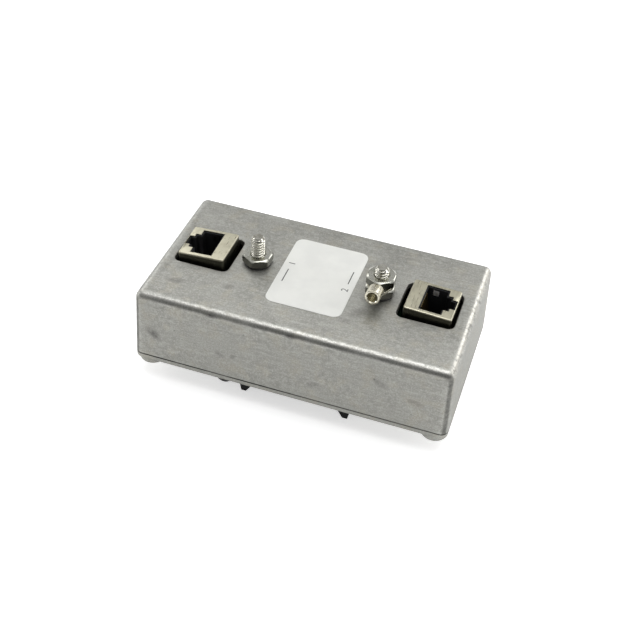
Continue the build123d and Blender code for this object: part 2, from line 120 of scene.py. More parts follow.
class NodeSheet:
    """The node tree of a finish or of the room, built by plain calls."""

    def __init__(self, owner: bpy.types.Material | bpy.types.World) -> None:
        """Empties a node tree and reads its coordinates.

        Args:
            owner: The material or the world that the tree belongs to.
        """
        owner.use_nodes = True
        self.owner = owner
        self.tree = owner.node_tree
        self.tree.nodes.clear()
        self.coordinates = self.add("ShaderNodeTexCoord").outputs
        self.place = self.coordinates["Object"]

    def add(self, kind: str, sockets: Sockets | None = None, **settings: object) -> bpy.types.Node:
        """Adds a node, links or sets its sockets and sets its own properties.

        Args:
            kind: The node's type.
            sockets: A value or a linked socket for each named or numbered input.
            **settings: The node's properties.

        Returns:
            The new node.
        """
        node = self.tree.nodes.new(kind)
        for name, value in settings.items():
            setattr(node, name, value)
        for name, value in (sockets or {}).items():
            if isinstance(value, Socket):
                self.tree.links.new(value, node.inputs[name])
            elif isinstance(value, tuple) and len(value) == 3 and node.inputs[name].type == "RGBA":
                node.inputs[name].default_value = (*value, 1.0)
            else:
                node.inputs[name].default_value = value
        return node

    def vector(self, kind: str, first: Value, second: Value = (0.0, 0.0, 0.0)) -> bpy.types.Node:
        """One arithmetic step on two vectors."""
        return self.add("ShaderNodeVectorMath", {0: first, 1: second}, operation=kind)

    def step(self, kind: str, first: Value, second: Value = 0.0) -> Socket:
        """One arithmetic step on two values."""
        return self.add("ShaderNodeMath", {0: first, 1: second}, operation=kind).outputs[0]

    def less(self, first: Value, second: Value) -> Socket:
        """The first value less the second one."""
        return self.step("SUBTRACT", first, second)

    def times(self, first: Value, *others: Value) -> Socket:
        """The product of some values.

        Args:
            first: The first value.
            *others: The values that it is multiplied by, in turn.

        Returns:
            The product.
        """
        for value in others:
            first = self.step("MULTIPLY", first, value)
        return first

    def axis(self, index: int) -> Socket:
        """One of the object coordinates, in metres."""
        return self.add("ShaderNodeSeparateXYZ", {0: self.place}).outputs[index]

    def outwards(self, index: int) -> Socket:
        """The distance from the model's middle along one axis, in metres."""
        return self.step("ABSOLUTE", self.axis(index))

    def apart(self, value: Value, level: float) -> Socket:
        """How far a value in metres lies from a level in mm, to either side."""
        return self.step("ABSOLUTE", self.less(value, level * MM))

    def remap(self, value: Value, low: float, high: float, start: float = 0.0,
              end: float = 1.0) -> Socket:
        """A smooth step from one value to another one.

        Args:
            value: What the step follows.
            low: Where it begins.
            high: Where it is complete. It may lie below low.
            start: What comes out at low.
            end: What comes out at high.

        Returns:
            The step's value.
        """
        return self.add("ShaderNodeMapRange", {0: value, 1: low, 2: high, 3: start, 4: end},
                        interpolation_type="SMOOTHSTEP").outputs[0]

    def band(self, value: Value, start: float, end: float, share: float = 1.0) -> Socket:
        """A smooth step over a length: 0 at its start in mm and the share at its end in mm."""
        return self.remap(value, start * MM, end * MM, 0.0, share)

    def inside(self, value: Value, limit: float, depths: Pair) -> Socket:
        """A smooth step inside a limit in mm: 0 at the first of two depths and 1 at the second."""
        return self.band(value, limit - depths[0], limit - depths[1])

    def mix(self, share: Value, first: Value, second: Value) -> Socket:
        """A blend of two colours by a share."""
        return self.add("ShaderNodeMix", {0: share, 6: first, 7: second},
                        data_type="RGBA").outputs[2]

    def stain(self, colour: Value, tone: Value, pattern: Value, low: float, high: float,
              share: float = 1.0) -> Socket:
        """A colour that turns to a tone where a pattern is strong.

        Args:
            colour: The colour below.
            tone: The tone of the stain.
            pattern: The pattern that the stain follows.
            low: The pattern's value where the stain begins.
            high: The pattern's value where it is full.
            share: The stain's share where it is full.

        Returns:
            The stained colour.
        """
        return self.mix(self.remap(pattern, low, high, 0.0, share), colour, tone)

    def moved(self, centre: Triple = (0.0, 0.0, 0.0), turn: Triple = (0.0, 0.0, 0.0),
              scale: Triple = (1.0, 1.0, 1.0)) -> Socket:
        """Object coordinates about a centre, turned back and then scaled.

        Args:
            centre: The new origin in mm.
            turn: The turn about each axis in degrees.
            scale: The factor along each axis.

        Returns:
            The new coordinates.
        """
        shifted = self.vector("SUBTRACT", self.place, tuple(c * MM for c in centre)).outputs[0]
        turned_back = self.add("ShaderNodeVectorRotate", {
            "Vector": shifted, "Rotation": tuple(math.radians(-angle) for angle in turn)},
            rotation_type="EULER_XYZ").outputs[0]
        return self.vector("MULTIPLY", turned_back, scale).outputs[0]

    def noise(self, size: float, detail: float = 3.0, rough: float = 0.5,
              reach: Reach = Reach.EVEN) -> Socket:
        """Soft noise from 0 to 1.

        Args:
            size: The size of its features in mm.
            detail: The number of finer layers on top.
            rough: The strength of each finer layer.
            reach: How its features are stretched.

        Returns:
            The noise's value.
        """
        place = self.place if reach is Reach.EVEN else self.moved(scale=reach.value)
        return self.add("ShaderNodeTexNoise", {
            "Vector": place, "Scale": 1 / (size * MM), "Detail": detail,
            "Roughness": rough}).outputs[0]

    def specks(self, cell: float, radius: float, share: float) -> Socket:
        """Scattered round specks.

        Args:
            cell: The size in mm of the cells, each with room for one speck.
            radius: The radius of a speck in mm.
            share: The share of the cells that hold one.

        Returns:
            1 inside a speck and 0 outside.
        """
        node = self.add("ShaderNodeTexVoronoi", {"Vector": self.place, "Scale": 1 / (cell * MM)})
        near = self.remap(node.outputs["Distance"], radius / cell, 0.0)
        pick = self.add("ShaderNodeSeparateColor", {0: node.outputs["Color"]}).outputs[0]
        bare = 1 - share
        return self.times(near, self.remap(pick, bare, bare + 0.01))

    def bump(self, height: Socket, depth: float, under: Socket | None = None) -> Socket:
        """A surface normal from a height.

        Args:
            height: The height, from 0 to 1.
            depth: The depth in mm that 1 stands for.
            under: The normal that it goes on top of.

        Returns:
            The new normal.
        """
        sockets: Sockets = {"Height": height, "Distance": depth * MM}
        if under is not None:
            sockets["Normal"] = under
        return self.add("ShaderNodeBump", sockets).outputs[0]

    def close(self, sockets: Sockets) -> bpy.types.Material:
        """Ends the sheet in one surface shader.

        Args:
            sockets: The shader's inputs.

        Returns:
            The finished material.
        """
        shader = self.add("ShaderNodeBsdfPrincipled", sockets)
        self.add("ShaderNodeOutputMaterial", {"Surface": shader.outputs[0]})
        return self.owner


# Finishes


@dataclass(frozen=True)
class Finish:
    """A finish by name. Each kind works out the inputs of its surface shader."""

    name: str

    def sockets(self, sheet: NodeSheet) -> Sockets:
        """The surface shader's inputs, built on a node sheet."""
        raise NotImplementedError

    def material(self) -> bpy.types.Material:
        """Builds the finish's material."""
        sheet = NodeSheet(bpy.data.materials.new(self.name))
        return sheet.close(self.sockets(sheet))


@dataclass(frozen=True)
class Smudge:
    """A dark rub mark on the casting: its middle, turn in degrees, half sizes and strength."""

    centre: Triple
    turn: Triple
    size: Triple
    strength: float = 0.5
    core: float = 0.3
    faint: float = 0.25
    broken: Pair = (0.32, 0.62)

    def share(self, sheet: NodeSheet, mottle: Socket) -> Socket:
        """The mark's share: full in its core and 0 from its half sizes outwards.

        Args:
            sheet: The casting's node sheet.
            mottle: The pattern that breaks the mark up.

        Returns:
            The share, from 0 to the mark's strength.
        """
        scale = tuple(1 / (half * MM) for half in self.size)
        place = sheet.moved(self.centre, self.turn, scale)
        blot = sheet.remap(sheet.vector("LENGTH", place).outputs["Value"], 1.0, self.core)
        return sheet.times(blot, sheet.remap(mottle, *self.broken, self.faint * self.strength,
                                             self.strength))


@dataclass(frozen=True)
class CastAluminium(Finish):
    """Matt die-cast aluminium: mottle, flow lines, pits, rub marks, worn edges, painted light and
    shade.

    A pair of depths says where an edge's band begins and where it is full, inside the limit of
    the casting that it follows. A pair for a line gives the same as distances from the line.
    Pits are given as the size of their cells, their radius and the share of cells with a pit.
    """

    half_length: float
    half_width: float
    top: float
    seam: float
    smudges: tuple[Smudge, ...]
    tone: Tone = (0.372, 0.372, 0.345)
    dark: Tone = (0.262, 0.262, 0.240)
    bright: Tone = (0.580, 0.578, 0.548)
    warm: Tone = (0.385, 0.368, 0.315)
    highlight_tone: Tone = (0.76, 0.74, 0.67)
    pit: Tone = (0.09, 0.09, 0.085)
    smudged: Tone = (0.12, 0.115, 0.11)
    corner_shade: Tone = (0.085, 0.085, 0.08)
    joint_dirt: Tone = (0.025, 0.025, 0.024)
    cloud_size: float = 16.0
    warm_size: float = 6.0
    mottle_size: float = 1.9
    flow_size: float = 0.9
    grain_size: float = 0.50
    large_pits: Triple = (7.5, 0.62, 0.25)
    small_pits: Triple = (3.1, 0.36, 0.16)
    side_edge: Pair = (4.2, 2.2)
    top_edge: Pair = (3.0, 1.0)
    highlight_side: Pair = (3.2, 2.2)
    highlight_top: Pair = (1.5, 0.7)
    corner_depth: Pair = (4.0, 3.0)
    corner_below: Pair = (1.4, 3.2)
    corner_line: Pair = (1.7, 0.5)
    corner_offset: float = -0.4
    seam_blur: float = 0.2
    joint_line: Pair = (0.34, 0.20)
    corner_wear_and_highlight: float = 0.4
    edge_wear_and_highlight: float = 0.8
    rub_gloss: float = 0.19
    pit_share: float = 0.6

    def edges(self, sheet: NodeSheet) -> Socket:
        """1 along the outer edges of the casting, 0 on its flats.

        Each edge is the product of two bands, one inside each of the faces that meet there.

        Args:
            sheet: The casting's node sheet.

        Returns:
            The edges' share.
        """
        near = [sheet.inside(sheet.outwards(0), self.half_length, self.side_edge),
                sheet.inside(sheet.outwards(1), self.half_width, self.side_edge),
                sheet.inside(sheet.axis(2), self.top, self.top_edge)]
        upright, ends, sides = (sheet.times(near[i], near[j]) for i, j in ((0, 1), (0, 2), (1, 2)))
        upright = sheet.times(upright, self.corner_wear_and_highlight)
        return sheet.step("MAXIMUM", upright, sheet.step("MAXIMUM", ends, sides))

    def painted_highlight(self, sheet: NodeSheet) -> Socket:
        """1 along the right top edge, where a highlight is painted on, 0 away from it."""
        right = sheet.inside(sheet.axis(0), self.half_length, self.highlight_side)
        return sheet.times(right, sheet.inside(sheet.axis(2), self.top, self.highlight_top))

    def corners(self, sheet: NodeSheet) -> Socket:
        """1 in a line of painted shade down each upright corner, where both sides are equally far.

        Args:
            sheet: The casting's node sheet.

        Returns:
            The lines' share, 0 on the top edge and on the cover.
        """
        length, width = (sheet.less(sheet.outwards(i), limit * MM)
                         for i, limit in enumerate((self.half_length, self.half_width)))
        apart = sheet.apart(sheet.less(length, width), self.corner_offset)
        near = sheet.inside(sheet.step("MINIMUM", length, width), 0.0, self.corner_depth)
        below = sheet.inside(sheet.axis(2), self.top, self.corner_below)
        above = sheet.inside(sheet.axis(2), self.seam, (self.seam_blur, -self.seam_blur))
        return sheet.times(sheet.times(sheet.band(apart, *self.corner_line), near),
                           sheet.times(above, below))

    def joint(self, sheet: NodeSheet) -> Socket:
        """1 in the dark joint line between the box and its cover, 0 away from it."""
        return sheet.band(sheet.apart(sheet.axis(2), self.seam), *self.joint_line)

    def metal(self, sheet: NodeSheet, clouds: Socket, mottle: Socket, grain: Socket) -> Value:
        """The bare casting's colour: clouds, mottling, warm patches, flow lines and grain.

        Args:
            sheet: The casting's node sheet.
            clouds: Its broadest pattern.
            mottle: Its middle pattern.
            grain: Its finest pattern.

        Returns:
            The colour.
        """
        flow = sheet.noise(self.flow_size, 3.0, 0.6, Reach.ALONG_X)
        warmth = sheet.noise(self.warm_size)
        colour: Value = self.dark
        for pattern, low, high, share, tone in (
                (clouds, 0.30, 0.70, 1.00, self.tone),
                (mottle, 0.32, 0.72, 1.00, self.tone),
                (warmth, 0.48, 0.68, 0.60, self.warm),
                (flow, 0.50, 0.72, 0.40, self.dark),
                (flow, 0.48, 0.30, 0.20, self.bright),
                (grain, 0.50, 0.66, 0.34, self.bright),
                (grain, 0.50, 0.34, 0.34, self.dark)):
            colour = sheet.stain(colour, tone, pattern, low, high, share)
        return colour

    def sockets(self, sheet: NodeSheet) -> Sockets:
        """The shader inputs: metal under pits, worn edges, marks, joint dirt, painted highlights
        and shade.

        Args:
            sheet: The casting's node sheet.

        Returns:
            The inputs.
        """
        clouds = sheet.noise(self.cloud_size, 4.0, 0.55)
        mottle = sheet.noise(self.mottle_size, 4.0, 0.62)
        grain = sheet.noise(self.grain_size, 3.0, 0.65)
        pits = sheet.step("MAXIMUM", sheet.specks(*self.large_pits),
                          sheet.specks(*self.small_pits))
        wear = sheet.times(sheet.remap(mottle, 0.30, 0.58, 0.25, 1.0),
                           sheet.remap(grain, 0.36, 0.60, 0.35, 1.0))
        corner = self.corners(sheet)
        # Worn edges: smoother, and painted brighter partly as a painted highlight.
        rub = sheet.times(sheet.times(self.edges(sheet), wear), sheet.less(1.0, corner))
        layers = [
            (sheet.times(pits, self.pit_share), self.pit),
            (sheet.times(rub, self.edge_wear_and_highlight), self.bright),
            # A painted highlight along the right top edge.
            (sheet.times(self.painted_highlight(sheet), sheet.remap(mottle, 0.36, 0.56, 0.0, 0.7)),
             self.highlight_tone)]
        layers += [(smudge.share(sheet, mottle), self.smudged) for smudge in self.smudges]
        layers += [
            # Painted shade down the upright corners.
            (sheet.times(corner, sheet.remap(mottle, 0.3, 0.7, 0.75, 0.45)), self.corner_shade),
            (sheet.times(self.joint(sheet), sheet.remap(clouds, 0.35, 0.6, 0.95, 0.65)),
             self.joint_dirt)]
        colour = self.metal(sheet, clouds, mottle, grain)
        for share, tone in layers:
            colour = sheet.mix(share, colour, tone)
        normal = None
        for height, depth in ((clouds, 0.10), (mottle, 0.045), (grain, 0.022),
                              (sheet.less(1.0, pits), 0.06)):
            normal = sheet.bump(height, depth, normal)
        satin = sheet.remap(clouds, 0.3, 0.7, 0.46, 0.56)
        return {"Base Color": colour, "Metallic": 1.0, "Normal": normal,
                "Roughness": sheet.less(satin, sheet.times(rub, self.rub_gloss))}


@dataclass(frozen=True)
class PaintedShade:
    """Painted shade low on upright faces: its level in mm falls with the distance from X = 0."""

    unshaded: float
    fully_shaded: float
    share: float
    slope: float = 0.0
    middle: float = 0.0
    tone: Tone = (0.012, 0.013, 0.009)

    def colour(self, sheet: NodeSheet, colour: Socket) -> Socket:
        """Painted shade: none at the unshaded level, the share at the fully shaded one.

        Args:
            sheet: The metal's node sheet.
            colour: The metal's colour before its painted shade.

        Returns:
            The darkened colour.
        """
        beyond = sheet.less(sheet.outwards(0), self.middle * MM)
        level = sheet.step("ADD", sheet.axis(2), sheet.times(beyond, self.slope))
        return sheet.mix(sheet.band(level, self.unshaded, self.fully_shaded, self.share), colour, self.tone)


@dataclass(frozen=True)
class PlatedMetal(Finish):
    """Plated or drawn metal: a satin tone with cloudy tarnish, fine marks and small nicks."""

    tone: Tone
    tarnish: Tone
    roughness: float
    reach: Reach = Reach.EVEN
    mark_size: float = 0.5
    mark_depth: float = 0.006
    cloud_size: float = 3.0
    painted_shade: PaintedShade | None = None

    def sockets(self, sheet: NodeSheet) -> Sockets:
        """The metal's shader inputs.

        Args:
            sheet: The metal's node sheet.

        Returns:
            The inputs.
        """
        clouds = sheet.noise(self.cloud_size, 4.0, 0.6)
        marks = sheet.noise(self.mark_size, 3.0, 0.6, self.reach)
        colour = sheet.stain(self.tone, self.tarnish, clouds, 0.42, 0.72, 0.8)
        colour = sheet.stain(colour, self.tarnish, marks, 0.6, 0.8, 0.3)
        # Optional painted shade, darker low on the piece.
        if self.painted_shade:
            colour = self.painted_shade.colour(sheet, colour)
        roughness = sheet.remap(marks, 0.3, 0.75, self.roughness * 0.8, self.roughness * 1.35)
        return {"Base Color": colour, "Metallic": 1.0, "Roughness": roughness,
                "Normal": sheet.bump(marks, self.mark_depth)}


@dataclass(frozen=True)
class MouldedPlastic(Finish):
    """Moulded plastic with a fine spark-eroded grain and faint flow clouds."""

    tone: Tone
    worn: Tone
    roughness: float
    grain_size: float = 0.35
    gloss: float = 0.5
    cloud_size: float = 6.0
    spread: float = 0.06

    def sockets(self, sheet: NodeSheet) -> Sockets:
        """The plastic's shader inputs.

        Args:
            sheet: The plastic's node sheet.

        Returns:
            The inputs.
        """
        clouds = sheet.noise(self.cloud_size)
        grain = sheet.noise(self.grain_size, 2.0)
        colour = sheet.stain(self.tone, self.worn, clouds, 0.4, 0.75, 0.6)
        roughness = sheet.remap(clouds, 0.3, 0.7, self.roughness - self.spread,
                                self.roughness + self.spread)
        return {"Base Color": sheet.stain(colour, self.worn, grain, 0.6, 0.8, 0.4),
                "Roughness": roughness, "Specular IOR Level": self.gloss,
                "Normal": sheet.bump(grain, 0.01)}


@dataclass(frozen=True)
class LabelFilm(Finish):
    """White polyester film: even, faintly mottled, with a soft sheen."""

    tone: Tone = (0.755, 0.760, 0.725)
    shade: Tone = (0.700, 0.705, 0.675)
    cloud_size: float = 9.0
    fibre_size: float = 0.4

    def sockets(self, sheet: NodeSheet) -> Sockets:
        """The film's shader inputs.

        Args:
            sheet: The film's node sheet.

        Returns:
            The inputs.
        """
        clouds = sheet.noise(self.cloud_size)
        fibres = sheet.noise(self.fibre_size)
        colour = sheet.stain(self.tone, self.shade, clouds, 0.35, 0.7)
        return {"Base Color": sheet.stain(colour, self.shade, fibres, 0.6, 0.8, 0.25),
                "Roughness": sheet.remap(clouds, 0.3, 0.7, 0.34, 0.44),
                "Normal": sheet.bump(fibres, 0.004)}


@dataclass(frozen=True)
class BoardLaminate(Finish):
    """Dark green solder mask over tracks that run along and across the board."""

    mask: Tone = (0.004, 0.020, 0.010)
    track: Tone = (0.010, 0.042, 0.020)
    lane: float = 2.1
    crossing: float = 8.6
    cloud_size: float = 1.2

    def wave(self, sheet: NodeSheet, index: int, pitch: float) -> Socket:
        """A sine along one axis, with a pitch in mm."""
        return sheet.step("SINE", sheet.times(sheet.axis(index), FULL_TURN / (pitch * MM)))

    def sockets(self, sheet: NodeSheet) -> Sockets:
        """The laminate's shader inputs: the tracks are the crests of two sines.

        Args:
            sheet: The laminate's node sheet.

        Returns:
            The inputs.
        """
        lanes = sheet.remap(self.wave(sheet, 1, self.lane), 0.35, 0.5)
        crossings = sheet.remap(self.wave(sheet, 0, self.crossing), 0.8, 0.88)
        track = sheet.step("MAXIMUM", lanes, crossings)
        colour = sheet.mix(track, self.mask, self.track)
        clouds = sheet.noise(self.cloud_size)
        return {"Base Color": sheet.stain(colour, self.mask, clouds, 0.5, 0.8, 0.3),
                "Roughness": 0.38, "Normal": sheet.bump(track, 0.03)}


@dataclass(frozen=True)
class GlazedTube(Finish):
    """Glazed white ceramic between two tinned end collars, the tube's ends known by their Y."""

    row: float
    ceramic_half: float
    glaze: Tone = (0.78, 0.77, 0.72)
    stained: Tone = (0.70, 0.68, 0.62)
    tin: Tone = (0.55, 0.55, 0.53)
    blur: float = 0.02
    cloud_size: float = 1.5

    def sockets(self, sheet: NodeSheet) -> Sockets:
        """The tube's shader inputs.

        Args:
            sheet: The tube's node sheet.

        Returns:
            The inputs.
        """
        collar = sheet.inside(sheet.apart(sheet.outwards(1), self.row), self.ceramic_half,
                              (self.blur, -self.blur))
        clouds = sheet.noise(self.cloud_size)
        glaze = sheet.stain(self.glaze, self.stained, clouds, 0.4, 0.7, 0.5)
        return {"Base Color": sheet.mix(collar, glaze, self.tin), "Metallic": collar,
                "Roughness": sheet.remap(clouds, 0.3, 0.7, 0.22, 0.34),
                "Normal": sheet.bump(clouds, 0.01)}


# Meshes


def box_of(node: str) -> tuple[Vector, Vector]:
    """A node's lowest and highest corners at rest, in mm."""
    low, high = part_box(node)
    return Vector(low) / MM, Vector(high) / MM


def middle_of(node: str) -> Vector:
    """The middle of a node's box at rest, in mm."""
    low, high = box_of(node)
    return (low + high) / 2


def grid_faces(rows: int, columns: int, ring_rows: bool, ring_columns: bool) -> np.ndarray:
    """Quads between neighbours of a grid of points numbered row by row.

    Args:
        rows: The number of rows.
        columns: The number of columns.
        ring_rows: Whether the last row joins the first one.
        ring_columns: Whether the last column joins the first one.

    Returns:
        The corner numbers, four to a face.
    """
    row = np.arange(rows if ring_rows else rows - 1)[:, None]
    column = np.arange(columns if ring_columns else columns - 1)[None, :]
    below, beside = (row + 1) % rows, (column + 1) % columns
    corners = (row * columns + column, row * columns + beside,
               below * columns + beside, below * columns + column)
    return np.stack(np.broadcast_arrays(*corners), axis=-1).reshape(-1, 4)


def shell(grids: list[Grid]) -> tuple[np.ndarray, np.ndarray]:
    """Points and quads of several grids of points as one mesh.

    Args:
        grids: For each grid its (rows, columns, 3) points in mm, and whether its rows and its
            columns close on themselves.

    Returns:
        All the points in metres and all the faces.
    """
    points, faces, count = [], [], 0
    for grid, ring_rows, ring_columns in grids:
        points.append(grid.reshape(-1, 3) * MM)
        faces.append(grid_faces(*grid.shape[:2], ring_rows, ring_columns) + count)
        count += len(points[-1])
    return np.concatenate(points), np.concatenate(faces)


def full_circle(count: int) -> np.ndarray:
    """Angles in equal steps around a full turn."""
    return np.linspace(0, FULL_TURN, count, endpoint=False)


def around(radius: np.ndarray, angle: np.ndarray, height: np.ndarray,
           middle: Vector | None = None) -> np.ndarray:
    """Points at a radius, an angle and a height about an upright axis.

    X is the radius times the cosine and Y the radius times the sine, from the axis.

    Args:
        radius: The radii in mm.
        angle: The angles.
        height: The heights in mm. The three shapes broadcast.
        middle: A point on the axis, the origin if left out.

    Returns:
        The points, along one more axis.
    """
    x, y = (0.0, 0.0) if middle is None else (middle.x, middle.y)
    points = (x + radius * np.cos(angle), y + radius * np.sin(angle), height)
    return np.stack(np.broadcast_arrays(*points), axis=-1)


def capped(rows: np.ndarray) -> np.ndarray:
    """Rows of points with a row more at each end, drawn together at the end's middle."""
    middles = np.broadcast_to(rows.mean(axis=1, keepdims=True), rows.shape)
    return np.concatenate([middles[:1], rows, middles[-1:]])


def carried(points: np.ndarray, matrix: Matrix) -> np.ndarray:
    """Points in mm, of any array shape, carried by a matrix whose shift is in mm."""
    return points @ np.array(matrix.to_3x3()).T + np.array(matrix.translation)


def outline_reach(angles: np.ndarray, circles: list[Triple]) -> np.ndarray:
    """How far the tight outline around some circles lies from the origin in each direction.

    The outline's support in a direction is the largest of centre dot direction plus radius. Its
    reach along an angle is the least support over the cosine of the angle between the two.

    Args:
        angles: The directions.
        circles: The X and Y of each circle's centre and its radius, in mm.

    Returns:
        The reach along each angle, in mm.
    """
    facing = full_circle(1440)
    support = np.max([x * np.cos(facing) + y * np.sin(facing) + r for x, y, r in circles], axis=0)
    lean = np.cos(angles[:, None] - facing[None, :])
    least = 0.02
    return np.min(np.where(lean > least, support / np.maximum(lean, least), np.inf), axis=1)


def settle(name: str, mesh: bpy.types.Mesh, finish: bpy.types.Material, body: str,
           sharp: float = 35.0) -> bpy.types.Object:
    """Puts a finished mesh into the scene as one piece.

    Args:
        name: The piece's name.
        mesh: Its mesh, in metres, with its place in it.
        finish: Its material.
        body: The body it rides on.
        sharp: The angle in degrees above which an edge stays sharp.

    Returns:
        The new object.
    """
    mesh.materials.clear()
    mesh.materials.append(finish)
    mesh.polygons.foreach_set("material_index", np.zeros(len(mesh.polygons), np.int32))
    mesh.polygons.foreach_set("use_smooth", np.ones(len(mesh.polygons), bool))
    mesh.set_sharp_from_angle(angle=math.radians(sharp))
    piece = bpy.data.objects.new(name, mesh)
    bpy.context.scene.collection.objects.link(piece)
    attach(piece, body)
    log.info("%s: %d faces on %s", name, len(mesh.polygons), body)
    return piece


def surface(name: str, grids: list[Grid], finish: bpy.types.Material, body: str,
            sharp: float = 35.0) -> bpy.types.Object:
    """One closed piece from grids of points, its doubles merged and its faces turned outwards.

    Args:
        name: The piece's name.
        grids: Its grids, as shell takes them.
        finish: Its material.
        body: The body it rides on.
        sharp: The angle in degrees above which an edge stays sharp.

    Returns:
        The new object.
    """
    points, faces = shell(grids)
    mesh = bpy.data.meshes.new(name)
    mesh.from_pydata(points, [], faces)
    work = bmesh.new()
    work.from_mesh(mesh)
    bmesh.ops.remove_doubles(work, verts=work.verts, dist=GRID_MERGE * MM)
    bmesh.ops.recalc_face_normals(work, faces=work.faces)
    work.to_mesh(mesh)
    work.free()
    return settle(name, mesh, finish, body, sharp)


@dataclass
class Wardrobe:
    """The finishes by material slot, and the copies of the model's nodes that wear them."""

    finishes: dict[str, bpy.types.Material]
    slots: dict[str, str] = field(init=False)

    def __post_init__(self) -> None:
        """Reads each node's material slot from the record."""
        self.slots = {s["node"]: s["material_slot"] for s in frame["record"]["subparts"]}

    def finish_of(self, node: str) -> bpy.types.Material:
        """The finish of a node's slot."""
        return self.finishes[self.slots[node]]

    def keep(self, node: str) -> None:
        """Dresses a node that stays as it is.

        Args:
            node: The node's name.
        """
        mesh = frame["nodes"][node].data
        mesh.materials.clear()
        mesh.materials.append(self.finish_of(node))
        log.info("%s: kept, dressed as %s", node, self.slots[node])

    def copied(self, node: str, sharp: float, joined: bool = True,
               cuts: tuple[Cut, ...] = ()) -> bpy.types.Object:
        """Stands a copy of a node's mesh for it, its doubles merged and its flats joined.

        Args:
            node: The node that the copy stands for.
            sharp: The angle in degrees above which an edge stays sharp.
            joined: Whether the triangles of a flat become one face.
            cuts: Planes, each an axis and its place in mm, that part the flats through their
                holes, so that no joined face is left with a hole in it.

        Returns:
            The copy.
        """
        source = frame["nodes"][node]
        mesh = source.data.copy()
        mesh.name = node + "_dressed"
        work = bmesh.new()
        work.from_mesh(mesh)
        bmesh.ops.remove_doubles(work, verts=work.verts, dist=NODE_MERGE * MM)
        for axis, place in cuts:
            normal = Vector([float(axis == i) for i in range(3)])
            parted = bmesh.ops.bisect_plane(
                work, geom=work.verts[:] + work.edges[:] + work.faces[:], dist=CUT_SNAP * MM,
                plane_co=normal * place * MM, plane_no=normal)
            for edge in parted["geom_cut"]:
                if isinstance(edge, bmesh.types.BMEdge):
                    edge.seam = True
        if joined:
            bmesh.ops.dissolve_limit(work, angle_limit=math.radians(FLAT_ANGLE), verts=work.verts,
                                     edges=work.edges, delimit={"SEAM"})
        bmesh.ops.recalc_face_normals(work, faces=work.faces)
        work.to_mesh(mesh)
        work.free()
        piece = settle(node + "_dressed", mesh, self.finish_of(node), source["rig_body"],
                       sharp)
        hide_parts(node)
        return piece

    def rounded(self, node: str, bevel: float, segments: int = 2, sharp: float = 35.0,
                clamped: bool = True, joined: bool = True, cuts: tuple[Cut, ...] = ()) -> None:
        """Stands a copy with fine rounded edges for a node.

        Args:
            node: The node that the copy stands for.
            bevel: The width of its rounded edges in mm.
            segments: The number of faces across a rounded edge.
            sharp: The angle in degrees above which an edge is rounded.
            clamped: Whether rounded edges stop where they would meet.
            joined: Whether the triangles of a flat become one face.
            cuts: Planes that part the flats through their holes.
        """
        edge = self.copied(node, sharp, joined, cuts).modifiers.new("edges", "BEVEL")
        edge.width = bevel * MM
        edge.segments = segments
        edge.limit_method = "ANGLE"
        edge.angle_limit = math.radians(sharp)
        edge.harden_normals = True
        edge.miter_outer = "MITER_ARC"
        edge.use_clamp_overlap = clamped
        edge.loop_slide = False


# Sub-assemblies


@dataclass
class Enclosure:
    """The die-cast box, its cover and its screws.

    The cuts part the cover at its middle and through the holes of its corner screws.
    """

    wardrobe: Wardrobe
    body_round: float = 0.12
    cover_round: float = 0.09
    screw_round: float = 0.08
    cover_cuts: tuple[Cut, ...] = ((0, 0.0), (0, -51.1), (0, 51.1),
                                   (1, 0.0), (1, -26.1), (1, 26.1))

    def build(self) -> None:
        """Dresses the castings with rounded rims, so that the seam reads as a fine groove."""
        self.wardrobe.rounded("enclosure_body", self.body_round, clamped=False)
        self.wardrobe.rounded("enclosure_cover", self.cover_round, clamped=False,
                              cuts=self.cover_cuts)
        self.wardrobe.rounded("cover_screws", self.screw_round)


